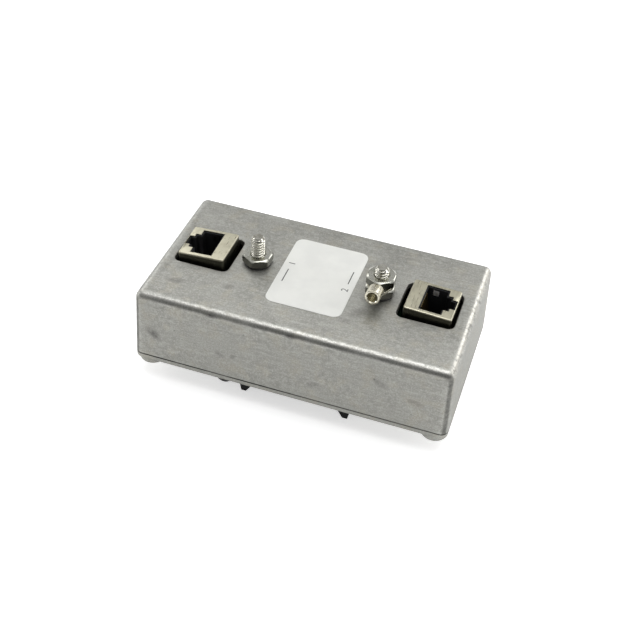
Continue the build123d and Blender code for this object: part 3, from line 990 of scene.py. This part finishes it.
@dataclass
class FaceLabel:
    """The label between the terminals and its plain port numbers."""

    wardrobe: Wardrobe
    corner: float = 3.0
    edge: float = 0.06
    inner_ring: float = 6.0
    columns: int = 180
    mark_height: float = 3.4
    mark_inset: float = 2.6
    rule_length: float = 7.0
    rule_width: float = 0.35
    ink_height: float = 0.012

    def build(self) -> None:
        """Makes the film and prints a number and a rule at each end."""
        low, high = box_of("face_label")
        self.film(low, high)
        middle, half = (low + high) / 2, (high - low) / 2
        for side, mark in ((Side.LEFT, "1"), (Side.RIGHT, "2")):
            x = middle.x + side.value * (half.x - self.mark_inset)
            place = Vector((x, middle.y, high.z))
            self.print_number(side, mark, place)
            self.print_rule(side, place)

    def film(self, low: Vector, high: Vector) -> None:
        """Makes the film: rings of its rounded outline from the middle to a softened rim.

        A ring's radius is the outline's reach less the ring's inset, and never below 0.

        Args:
            low: The lowest corner of the label's box, in mm.
            high: Its highest corner.
        """
        middle, half = (low + high) / 2, (high - low) / 2
        angle = full_circle(self.columns)
        x, y = half.x - self.corner, half.y - self.corner
        reach = outline_reach(angle, [(sx * x, sy * y, self.corner)
                                      for sx in (-1, 1) for sy in (-1, 1)])
        inset = np.array([np.inf, self.inner_ring, self.edge, 0.0, 0.0, np.inf])
        height = np.array([high.z, high.z, high.z, high.z - self.edge, low.z, low.z])
        radius = np.maximum(reach[None, :] - inset[:, None], 0)
        grid = around(radius, angle, height[:, None], middle)
        piece = surface("label_film", [(grid, False, True)],
                        self.wardrobe.finish_of("face_label"), "base")
        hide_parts("face_label")

    def print_number(self, side: Side, mark: str, place: Vector) -> None:
        """Prints one number that reads along the box's width.

        Args:
            side: The label's end.
            mark: The number.
            place: The point on the film, in mm, that its number and rule are set out from.
        """
        curve = bpy.data.curves.new("mark_" + side.label, "FONT")
        curve.body = mark
        curve.size = self.mark_height * MM
        curve.align_x = "CENTER"
        curve.align_y = "CENTER"
        curve.extrude = self.ink_height * MM
        holder = bpy.data.objects.new("mark_holder", curve)
        bpy.context.scene.collection.objects.link(holder)
        bpy.context.view_layer.update()
        mesh = bpy.data.meshes.new_from_object(holder)
        bpy.data.objects.remove(holder)
        turn = Matrix.Rotation(side.value * math.pi / 2, 4, "Z")
        shift = (place - Vector((0, side.value * self.rule_length / 2, 0))) * MM
        mesh.transform(Matrix.Translation(shift) @ turn)
        settle("number_" + side.label, mesh, self.wardrobe.finishes["print_ink"], "base")

    def print_rule(self, side: Side, place: Vector) -> None:
        """Prints the fine rule beside a number: its flat section carried along its length.

        Args:
            side: The label's end.
            place: The point on the film, in mm, that its number and rule are set out from.
        """
        start = place.y - side.value * (self.rule_length / 2 - self.mark_height)
        stop = start + side.value * self.rule_length
        half, level = self.rule_width / 2, place.z
        rows = ((-half, level), (-half, level + self.ink_height),
                (half, level + self.ink_height), (half, level))
        grid = np.array([[(place.x + x, y, z) for y in (start, stop)] for x, z in rows])
        surface("rule_" + side.label, [(grid, True, False)], self.wardrobe.finishes["print_ink"],
                "base")


@dataclass
class Thread:
    """A right-handed screw thread."""

    crest: float = 2.41
    depth: float = 0.52
    pitch: float = 1.058
    flank: float = 1.6
    root: float = 0.3
    tip_slope: float = 0.8
    columns: int = 72
    steps: int = 14

    def bolt(self, low: float, high: float, tip: float) -> np.ndarray:
        """The threaded shank's grid, from its foot on the axis to its chamfered end.

        The radius is the root plus the depth times a trapezoid wave of height over pitch less
        the share of a turn, and it never passes the cone at the end.

        Args:
            low: The height of its foot in mm.
            high: The height of its end in mm.
            tip: The height of the cone at its end in mm.

        Returns:
            The points about the origin's axis, in mm.
        """
        angle = full_circle(self.columns)
        height = np.linspace(low, high, int((high - low) / self.pitch * self.steps))[:, None]
        phase = (height / self.pitch - angle / FULL_TURN) % 1.0
        wave = np.clip(self.flank * np.abs(2 * phase - 1) - self.root, 0, 1)
        cone = self.crest + (high - tip - height) * self.tip_slope
        radius = np.minimum(self.crest - self.depth * (1 - wave), cone)
        closed = np.zeros((1, self.columns))
        return around(np.concatenate([closed, radius, closed]), angle,
                      np.concatenate([[[low]], height, [[high]]]))


@dataclass
class GroundTerminal:
    """A ground screw and the nut that clamps it to the box."""

    wardrobe: Wardrobe
    side: Side
    nut_turn: float
    thread: Thread = field(default_factory=Thread)
    tip: float = 0.9
    head_radius: float = 4.6
    head_height: float = 3.0
    head_round: float = 1.0
    slot_half: float = 0.6
    slot_depth: float = 1.4
    steps: int = 25

    def build(self) -> None:
        """Makes the screw and its nut."""
        self.screw()
        Nut(self.wardrobe, "base_nut_" + self.side.label, "base_nut_steel", self.nut_turn).build()

    def head(self) -> np.ndarray:
        """The slotted head's grid, hung from the origin.

        Rows run across the slot. Each row is a loop in the XZ plane, up one side, over the top,
        down the other side and along the domed underside, which is raised inside the slot.

        Returns:
            The points in mm.
        """
        quarter = math.pi / 2
        rim = self.head_radius * np.sin(np.linspace(-quarter, quarter, self.steps))
        slot = np.array([-self.slot_half, -self.slot_half, self.slot_half, self.slot_half])
        outside = rim[np.abs(rim) > self.slot_half]
        y = np.concatenate([outside[outside < 0], slot, outside[outside > 0]])
        order = np.arange(len(y)) - np.sum(outside < 0)
        raised = ((order == 1) | (order == 2)) * self.slot_depth
        half = np.sqrt(np.maximum(self.head_radius ** 2 - y ** 2, 0))
        x = half[:, None] * np.linspace(-1, 1, self.steps)
        near_rim = np.clip(np.hypot(x, y[:, None]) - self.head_radius + self.head_round, 0, None)
        dome = self.head_round - np.sqrt(np.maximum(self.head_round ** 2 - near_rim ** 2, 0))
        under = np.stack([x, np.broadcast_to(y[:, None], x.shape),
                          np.maximum(dome, raised[:, None]) - self.head_height], axis=-1)
        over = under[:, ::-1].copy()
        over[..., 2] = 0
        return np.concatenate([under, over], axis=1)

    def screw(self) -> None:
        """Makes the screw from its head inside the box to its chamfered end."""
        node = "ground_stud_" + self.side.label
        low, high = box_of(node)
        axis = np.array([(low.x + high.x) / 2, (low.y + high.y) / 2, 0])
        head_top = low.z + self.head_height
        shank = self.thread.bolt(head_top - self.slot_depth / 2, high.z, self.tip) + axis
        head = self.head() + axis + np.array([0, 0, head_top])
        piece = surface("screw_" + self.side.label, [(shank, False, True), (head, False, True)],
                        self.wardrobe.finish_of(node), "base", 48.0)
        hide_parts(node)


@dataclass
class Nut:
    """A hexagon nut with both faces chamfered and a countersunk bore."""

    wardrobe: Wardrobe
    node: str
    finish: str
    turn: float
    width: float = 9.525
    bore: float = 2.45
    sink: float = 0.45
    chamfer: float = 0.62
    face_inset: float = 0.25
    corner_flat: float = 0.06
    columns: int = 144

    def build(self) -> None:
        """Makes the nut: its sides end where the hexagon meets the two chamfer cones.

        The hexagon's reach is half its width over the cosine of the angle from the nearest flat.
        The lower half's section runs from the bore to the side, and the upper half mirrors it.
        """
        low, high = box_of(self.node)
        angle = math.radians(self.turn) + full_circle(self.columns)
        twelfth = math.pi / 6
        beside = (angle - math.radians(self.turn) + twelfth) % (2 * twelfth) - twelfth
        corner = self.width / math.sqrt(3) - self.corner_flat
        face = self.width / 2 - self.face_inset
        side = np.minimum(self.width / 2 / np.cos(beside), corner)
        drop = self.chamfer * (side - face) / (corner - face)
        ring = np.ones_like(side)
        reach = np.stack([self.bore * ring, (self.bore + self.sink) * ring, face * ring, side])
        rise = np.stack([self.sink * ring, 0 * ring, 0 * ring, drop])
        grid = around(np.concatenate([reach, reach[::-1]]), angle,
                      np.concatenate([low.z + rise, high.z - rise[::-1]]),
                      middle_of(self.node))
        piece = surface(self.node + "_dressed", [(grid, True, True)],
                        self.wardrobe.finishes[self.finish],
                        frame["nodes"][self.node]["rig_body"], 28.0)
        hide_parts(self.node)


@dataclass
class LockWashers:
    """Split spring washers under the base nuts."""

    wardrobe: Wardrobe
    places: list[Vector]
    inner: float = 2.62
    outer: float = 4.85
    edge: float = 0.08
    gap: float = 7.0
    gap_turn: float = -110.0
    steps: int = 120

    def build(self) -> None:
        """Makes both washers: a flat ring cut through at a slant, its section a rounded bar.

        The section is carried around less the gap, each of its points turned on by the gap's
        angle times its share of the washer's height.
        """
        low, high = (corner.z for corner in box_of("lock_washers"))
        section = np.array([(self.inner, low + self.edge), (self.inner + self.edge, low),
                            (self.outer - self.edge, low), (self.outer, low + self.edge),
                            (self.outer, high - self.edge), (self.outer - self.edge, high),
                            (self.inner + self.edge, high), (self.inner, high - self.edge)])
        gap = math.radians(self.gap)
        start = math.radians(self.gap_turn + self.gap / 2)
        angle = np.linspace(start, start + FULL_TURN - gap, self.steps)[:, None]
        slant = (section[:, 1] - low) / (high - low) * gap
        grids = [(capped(around(section[:, 0], angle + slant, section[:, 1], place)), False, True)
                 for place in self.places]
        piece = surface("split_washers", grids, self.wardrobe.finish_of("lock_washers"), "base")
        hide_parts("lock_washers")


@dataclass
class RingLug:
    """The ring terminal: a stamped ring, a formed neck and a crimp barrel with a brazed seam."""

    wardrobe: Wardrobe
    place: Vector
    turn: float = -89.0
    tilt: float = 12.0
    ring: float = 4.75
    hole: float = 2.65
    thickness: float = 0.95
    neck: float = 5.70
    neck_length: float = 0.4
    ramp: float = 1.0
    barrel: float = 2.6
    bore: float = 1.7
    length: float = 5.3
    edge: float = 0.18
    lip: float = 0.3
    sink: float = 0.25
    seam_depth: float = 0.10
    seam_spread: float = 0.07
    bend_steps: int = 5
    seam_from: float = 0.97
    square: float = 6.0
    neck_steps: int = 14
    tube_columns: int = 72
    ring_columns: int = 180

    def build(self) -> None:
        """Makes the ring and the barrel as one piece."""
        low = box_of("ground_lug")[0]
        matrix = (Matrix.Translation((self.place.x, self.place.y, low.z))
                  @ Matrix.Rotation(math.radians(self.turn), 4, "Z"))
        grids = [(carried(self.plate(), matrix), True, True),
                 (carried(self.tube(), matrix), False, True)]
        piece = surface("ring_terminal", grids, self.wardrobe.finish_of("ground_lug"), "ring_lug",
                        40.0)
        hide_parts("ground_lug")

    def plate(self) -> np.ndarray:
        """The ring's grid: its section, with rounded edges, is carried around the outline.

        Returns:
            The points about the screw's axis, in mm, with the barrel towards +X.
        """
        angle = full_circle(self.ring_columns)
        point = 0.001
        reach = outline_reach(angle, [(0, 0, self.ring), (self.neck, -self.barrel, point),
                                      (self.neck, self.barrel, point)])
        bend = np.linspace(0, math.pi / 2, self.bend_steps)
        out = self.edge * (1 - np.sin(bend))
        rise = self.edge * (1 - np.cos(bend))
        inset = np.concatenate([out, out[::-1]])[:, None]
        height = np.concatenate([rise, self.thickness - rise[::-1]])[:, None]
        outer = reach[None, :] - inset
        inner = np.broadcast_to(self.hole + inset[::-1], outer.shape)
        return around(np.concatenate([outer, inner]), angle,
                      np.concatenate([height, height[::-1]]))

    def tube(self) -> np.ndarray:
        """The neck's and barrel's grid, outside first and then back down the bore.

        A section's share of roundness goes from 0 at the neck to 1 at the barrel. Its half
        height goes from half the strip to the barrel's radius, and its corners from square to
        round by the power of a superellipse. Sections follow a line that rises at the tilt. At
        the mouth the radius turns in by a quarter circle, and a cone leads down to the bore.

        Returns:
            The points about the screw's axis, in mm, with the barrel towards +X.
        """
        slope = math.radians(self.tilt)
        along = np.array([math.cos(slope), 0, math.sin(slope)])
        up = np.array([-math.sin(slope), 0, math.cos(slope)])
        start = np.array([self.neck - self.neck_length, 0, self.thickness / 2])
        root = np.array([self.neck + self.ramp + self.barrel * math.sin(slope), 0,
                         self.barrel * math.cos(slope)])
        share = np.linspace(0, 1, self.neck_steps)
        smooth = share * share * (3 - 2 * share)
        neck = start + (root - start) * np.stack([share, share, smooth], axis=-1)
        level = np.array([0, 0, 1.0])
        bend = np.linspace(0, math.pi / 2, self.bend_steps)
        depth = np.concatenate([self.lip * (1 - np.sin(bend)), [0.0, self.sink]])
        mouth = root + along * self.length - depth[:, None] * along
        radius = np.concatenate([self.barrel - self.lip * (1 - np.cos(bend)),
                                 [self.bore + self.sink, self.bore, self.bore, 0.0]])
        round_up = np.tile(up, (len(radius), 1))
        centre = np.concatenate([neck[:1], neck, mouth, [root, root]])
        wide = np.concatenate([[0.0], np.full(self.neck_steps, self.barrel), radius])
        strip = self.thickness / 2
        tall = np.concatenate([[0.0], strip + (self.barrel - strip) * smooth, radius])
        power = np.concatenate([[2.0], self.square + (2 - self.square) * smooth,
                                np.full(len(radius), 2.0)])[:, None, None]
        top = np.concatenate([[up], level + (up - level) * smooth[:, None], round_up])
        angle = full_circle(self.tube_columns)[None, :, None]
        cosine, sine = np.cos(angle), np.sin(angle)
        side = np.sign(cosine) * np.abs(cosine) ** (2 / power) * wide[:, None, None]
        rise = np.sign(sine) * np.abs(sine) ** (2 / power) * tall[:, None, None]
        seam = self.seam_depth * np.exp(-((angle - math.pi / 2) / self.seam_spread) ** 2)
        rise = rise - seam * (tall >= self.barrel * self.seam_from)[:, None, None]
        return centre[:, None] + side * np.array([0, 1, 0]) + rise * top[:, None]


@dataclass
class NetworkSocket:
    """A shielded socket: its shell, its housing, its wires and the springs that ground a plug."""

    wardrobe: Wardrobe
    side: Side
    glint_or_shade_finish: str
    foot: Triple
    lean: float
    turn: float
    height: float = 16.0
    shell_thickness: float = 0.35
    shell_round: float = 0.07
    housing_round: float = 0.10
    cavity_half: float = 6.1
    finger_x: float = -0.2
    finger_width: float = 2.0
    finger_depth: float = 0.9
    finger_length: float = 2.2
    finger_thickness: float = 0.16
    finger_proud: float = 0.04
    finger_bow: float = 0.08
    finger_steps: int = 24

    def build(self) -> None:
        """Dresses the socket's nodes and adds its plug springs."""
        self.wardrobe.rounded("jack_shield_" + self.side.label, self.shell_round, sharp=40.0)
        self.wardrobe.rounded("jack_housing_" + self.side.label, self.housing_round, 1, 40.0,
                              clamped=False, joined=False)
        self.wardrobe.keep("jack_contacts_" + self.side.label)
        self.fingers()

    def matrix(self) -> Matrix:
        """The turn and shift from the socket's own frame to the model's frame.

        Returns:
            The matrix, whose shift is in mm. The socket's latch points to its own +X.
        """
        facing = self.turn + (180 if self.side is Side.LEFT else 0)
        return (Matrix.Translation(self.foot) @ Matrix.Rotation(math.radians(facing), 4, "Z")
                @ Matrix.Rotation(math.radians(self.lean), 4, "Y"))

    def fingers(self) -> None:
        """Makes a spring down each side wall: a strip that bows into the opening as a sine."""
        top = self.height - self.shell_thickness
        share = np.linspace(0, 1, self.finger_steps)
        drop = top - self.finger_depth - share * self.finger_length
        bow = self.finger_proud + self.finger_bow * np.sin(math.pi * share)
        half, thick = self.finger_width / 2, self.finger_thickness
        section = np.array([(-half, 0.0), (half, 0.0), (half, thick), (-half, thick)])
        across = np.array([1.0, 0.0, 0.0])
        grids = []
        for sign in (-1, 1):
            wall = np.stack([np.zeros_like(bow), sign * (self.cavity_half - bow), drop], axis=-1)
            tangent = np.gradient(wall, axis=0)
            tangent /= np.linalg.norm(tangent, axis=1, keepdims=True)
            depth = np.cross(across, tangent)
            line = wall[:, None, :] + (self.finger_x + section[None, :, 0, None]) * across
            strip = line + section[None, :, 1, None] * depth[:, None, :] * sign
            grids.append((carried(capped(strip), self.matrix()), False, True))
        surface("plug_springs_" + self.side.label, grids,
                self.wardrobe.finishes[self.glint_or_shade_finish], "base", 30.0)


@dataclass
class SurgeBoard:
    """The circuit board with its surge parts, straps and screws."""

    wardrobe: Wardrobe

    def build(self) -> None:
        """Dresses the board and everything soldered or screwed to it."""
        for node, bevel in (("circuit_board", 0.1), ("gas_tubes", 0.12), ("clamp_diodes", 0.12),
                            ("series_resistors", 0.06), ("board_screws", 0.1),
                            ("ground_strap_left", 0.06), ("ground_strap_right", 0.06)):
            self.wardrobe.rounded(node, bevel)


@dataclass
class RailClips:
    """The moulded rail clips, their sliding hooks, springs and screws."""

    wardrobe: Wardrobe
    travel: float = 3.0
    moulding_round: float = 0.2
    slide_round: float = 0.08
    screw_round: float = 0.06
    nut_round: float = 0.08

    def build(self) -> None:
        """Dresses both clips with their fasteners."""
        for end in ("front", "rear"):
            self.wardrobe.rounded("rail_clip_" + end, self.moulding_round)
            self.wardrobe.rounded("latch_hook_" + end, self.moulding_round)
            self.wardrobe.rounded("latch_slide_" + end, self.slide_round, joined=False)
            self.spring(end)
        self.wardrobe.rounded("clip_screws", self.screw_round)
        self.wardrobe.rounded("clip_nuts", self.nut_round)

    def spring(self, end: str) -> None:
        """Dresses the coil spring that sits against the clip's post with a copy of its node.

        Args:
            end: The clip's word, front or rear.
        """
        node = "latch_spring_" + end
        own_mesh(self.wardrobe.copied(node, 60.0))


# Studio


@dataclass(frozen=True)
class SoftBox:
    """A soft lamp: its name, its place in metres, its width and height, and its power."""

    name: str
    place: Triple
    size: Pair
    power: float

    def hang(self) -> None:
        """Hangs the lamp, turned to the object."""
        data = bpy.data.lights.new(self.name, "AREA")
        data.shape = "RECTANGLE"
        data.size, data.size_y = self.size
        data.energy = self.power
        lamp = bpy.data.objects.new(self.name, data)
        lamp.matrix_world = (Matrix.Translation(self.place)
                             @ Vector(self.place).to_track_quat("Z", "Y").to_matrix().to_4x4())
        bpy.context.scene.collection.objects.link(lamp)


@dataclass
class Studio:
    """The pale floor, the soft lamps and the camera at the photograph's angle."""

    azimuth: float = 15.7406
    elevation: float = 41.5160
    roll: float = 3.9312
    distance: float = 378.209
    target: Triple = (2.256, -2.452, 20.0)
    lens: float = 60.641
    sensor: float = 36.0
    nearest: float = 10.0
    floor_size: float = 6000.0
    floor_tone: Tone = (0.80, 0.80, 0.80)
    floor_glow: float = 0.60
    gloss_share: float = 0.62
    dark_side: Triple = (0.25, -0.93, 0.28)
    dark_from: Pair = (0.35, 0.92)
    room_light: Pair = (0.56, 0.12)
    lamps: tuple[SoftBox, ...] = (
        SoftBox("overhead", (0.05, 0.10, 0.95), (1.0, 0.8), 5.6),
        SoftBox("rear_left", (-0.75, 0.65, 0.70), (0.6, 0.6), 2.0),
        SoftBox("rear_right", (0.42, 0.66, 0.42), (0.45, 0.45), 1.3),
        SoftBox("right_side", (0.95, 0.10, 0.45), (0.3, 0.3), 0.8),
        SoftBox("left_strip", (-0.85, -0.10, 0.32), (0.10, 0.45), 1.0),
        SoftBox("right_strip", (0.85, 0.20, 0.32), (0.10, 0.45), 0.4))

    def build(self) -> None:
        """Sets up everything around the object."""
        bpy.context.scene.view_settings.view_transform = "Standard"
        self.camera()
        self.floor()
        self.room()
        for lamp in self.lamps:
            lamp.hang()

    def camera(self) -> None:
        """Places the camera on its line of sight and rolls it about that line."""
        azimuth, elevation = math.radians(self.azimuth), math.radians(self.elevation)
        back = Vector((math.sin(azimuth) * math.cos(elevation),
                       -math.cos(azimuth) * math.cos(elevation), math.sin(elevation)))
        data = bpy.data.cameras.new("camera")
        data.lens = self.lens
        data.sensor_width = self.sensor
        data.clip_start = self.nearest * MM
        camera = bpy.data.objects.new("camera", data)
        turn = back.to_track_quat("Z", "Y").to_matrix().to_4x4()
        roll = Matrix.Rotation(math.radians(self.roll), 4, "Z")
        place = Vector(self.target) * MM + back * self.distance * MM
        camera.matrix_world = Matrix.Translation(place) @ turn @ roll
        bpy.context.scene.collection.objects.link(camera)
        bpy.context.scene.camera = camera

    def floor(self) -> None:
        """A wide plane that shows white to the camera, paler in gloss, and keeps the shadow."""
        half = self.floor_size / 2
        grid = np.array([[(x, y, 0.0) for x in (-half, half)] for y in (-half, half)])
        points, faces = shell([(grid, False, False)])
        mesh = bpy.data.meshes.new("floor")
        mesh.from_pydata(points, [], faces)
        sheet = NodeSheet(bpy.data.materials.new("floor"))
        path = sheet.add("ShaderNodeLightPath").outputs
        seen = sheet.step("MAXIMUM", path["Is Camera Ray"],
                          sheet.times(path["Is Glossy Ray"], self.gloss_share))
        mesh.materials.append(sheet.close({
            "Base Color": self.floor_tone, "Roughness": 0.9, "Specular IOR Level": 0.0,
            "Emission Color": (1.0, 1.0, 1.0),
            "Emission Strength": sheet.times(seen, self.floor_glow)}))
        floor = bpy.data.objects.new("floor", mesh)
        bpy.context.scene.collection.objects.link(floor)

    def room(self) -> None:
        """Even soft light, darker from the camera's side of the room, white as a backdrop."""
        sheet = NodeSheet(bpy.data.worlds.new("room"))
        facing = sheet.vector("DOT_PRODUCT", sheet.coordinates["Generated"],
                              tuple(Vector(self.dark_side).normalized())).outputs["Value"]
        level = sheet.remap(facing, *self.dark_from, *self.room_light)
        path = sheet.add("ShaderNodeLightPath").outputs
        light = sheet.step("MAXIMUM", path["Is Camera Ray"], level)
        shade = sheet.add("ShaderNodeBackground", {"Strength": light})
        sheet.add("ShaderNodeOutputWorld", {"Surface": shade.outputs[0]})
        bpy.context.scene.world = sheet.owner


def finishes() -> dict[str, bpy.types.Material]:
    """Builds one finish for each material slot of the record, and a few for single pieces.

    Returns:
        The materials by their finishes' names.
    """
    low, high = box_of("enclosure_body")
    smudges = (
        Smudge((-48.4, -31.0, 20.6), (0.0, 40.0, 0.0), (4.2, 4.0, 2.5), 0.75),
        Smudge((-44.5, -19.0, 36.3), (0.0, 0.0, 10.0), (4.2, 1.8, 3.0)),
        Smudge((-26.5, -15.5, 36.3), (0.0, 0.0, 30.0), (2.8, 1.8, 3.0), 0.4),
        Smudge((-24.0, -31.0, 19.0), (0.0, 20.0, 0.0), (2.4, 4.0, 1.3), 0.4),
        Smudge((-19.5, -31.0, 19.6), (0.0, -20.0, 0.0), (2.0, 4.0, 1.2), 0.35),
        Smudge((18.0, -12.0, 36.3), (0.0, 0.0, 40.0), (4.6, 3.0, 3.0), 0.45),
        Smudge((14.5, -17.5, 36.3), (0.0, 0.0, -20.0), (3.6, 2.0, 3.0), 0.4),
        Smudge((9.0, -31.0, 17.0), (0.0, -25.0, 0.0), (3.2, 4.0, 1.6), 0.4),
        Smudge((31.5, -31.0, 25.5), (0.0, 30.0, 0.0), (4.0, 4.0, 1.8), 0.4),
        Smudge((44.0, -31.0, 21.0), (0.0, 10.0, 0.0), (4.0, 4.0, 1.8), 0.4),
        Smudge((-54.6, -30.0, 34.4), (0.0, 0.0, 0.0), (1.3, 1.6, 1.0), 0.8),
        Smudge((-27.5, -30.0, 34.6), (0.0, 0.0, 0.0), (3.0, 1.6, 1.0), 0.7),
        Smudge((0.5, -30.0, 34.6), (0.0, 0.0, 0.0), (2.6, 1.6, 1.0), 0.7),
        Smudge((53.8, -30.0, 34.3), (0.0, 0.0, 0.0), (2.2, 1.8, 1.3), 0.8),
    )
    nut_tones = (0.60, 0.60, 0.54), (0.40, 0.40, 0.34)
    chosen = (
        CastAluminium("cast_aluminium", high.x, high.y, high.z, low.z, smudges),
        PlatedMetal("plated_steel", (0.66, 0.65, 0.58), (0.42, 0.41, 0.35), 0.17),
        PlatedMetal("dark_steel", (0.10, 0.10, 0.10), (0.05, 0.05, 0.05), 0.4),
        PlatedMetal("tinned_copper", (0.75, 0.72, 0.59), (0.55, 0.51, 0.39), 0.24),
        # The shield's sides are painted darker below its top edge, as shade.
        PlatedMetal("nickel_shell", (0.57, 0.545, 0.425), (0.46, 0.435, 0.330), 0.33,
                    Reach.ALONG_Y, 0.35, 0.003, painted_shade=PaintedShade(38.93, 38.45, 0.82, 0.0445, 39.75)),
        # The contacts' gold is dull, and darker still as painted shade deep in the socket.
        PlatedMetal("gilt_wire", (0.27, 0.20, 0.09), (0.22, 0.165, 0.08), 0.36),
        PlatedMetal("copper_strip", (0.72, 0.38, 0.22), (0.45, 0.24, 0.15), 0.35, Reach.ALONG_X),
        PlatedMetal("spring_steel", (0.52, 0.52, 0.51), (0.35, 0.35, 0.34), 0.25),
        MouldedPlastic("black_plastic", (0.007, 0.007, 0.008), (0.014, 0.014, 0.015), 0.46,
                       gloss=0.2),
        MouldedPlastic("chip_moulding", (0.020, 0.020, 0.021), (0.045, 0.045, 0.045), 0.6),
        LabelFilm("label_film"),
        BoardLaminate("board_laminate"),
        GlazedTube("tube_ceramic", 5.0, 2.8),
        # Two copies of one nut steel, each painted darker towards its foot, as shade.
        PlatedMetal("base_nut_steel", *nut_tones, 0.20, painted_shade=PaintedShade(39.85, 39.45, 0.60)),
        PlatedMetal("top_nut_steel", *nut_tones, 0.20, painted_shade=PaintedShade(44.0, 43.6, 0.72)),
        # Near-white spring steel that paints a glint on the right socket's springs.
        PlatedMetal("spring_tongue", (0.95, 0.93, 0.92), (0.85, 0.83, 0.82), 0.70),
        MouldedPlastic("print_ink", (0.050, 0.050, 0.052), (0.10, 0.10, 0.10), 0.55, 0.2),
    )
    return {finish.name: finish.material() for finish in chosen}


def main() -> None:
    """Builds the object and the studio."""
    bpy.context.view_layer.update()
    wardrobe = Wardrobe(finishes())
    left, right = (middle_of("ground_stud_" + side.label) for side in Side)
    Enclosure(wardrobe).build()
    FaceLabel(wardrobe).build()
    for side, nut_turn in ((Side.LEFT, -62.0), (Side.RIGHT, -55.0)):
        GroundTerminal(wardrobe, side, nut_turn).build()
    LockWashers(wardrobe, [left, right]).build()
    RingLug(wardrobe, right).build()
    Nut(wardrobe, "terminal_nut", "top_nut_steel", -57.0).build()
    # The right socket's springs wear a painted glint, the left ones dark steel as painted shade.
    for side, glint_or_shade_finish, foot, lean, turn in (
            (Side.LEFT, "dark_steel", (-39.95, 0.8, 23.2016), 3.1, 0.8),
            (Side.RIGHT, "spring_tongue", (39.55, 0.8, 23.0414), 2.0, -0.8)):
        NetworkSocket(wardrobe, side, glint_or_shade_finish, foot, lean, turn).build()
    SurgeBoard(wardrobe).build()
    RailClips(wardrobe).build()
    Studio().build()


if __name__ == "__main__":
    main()
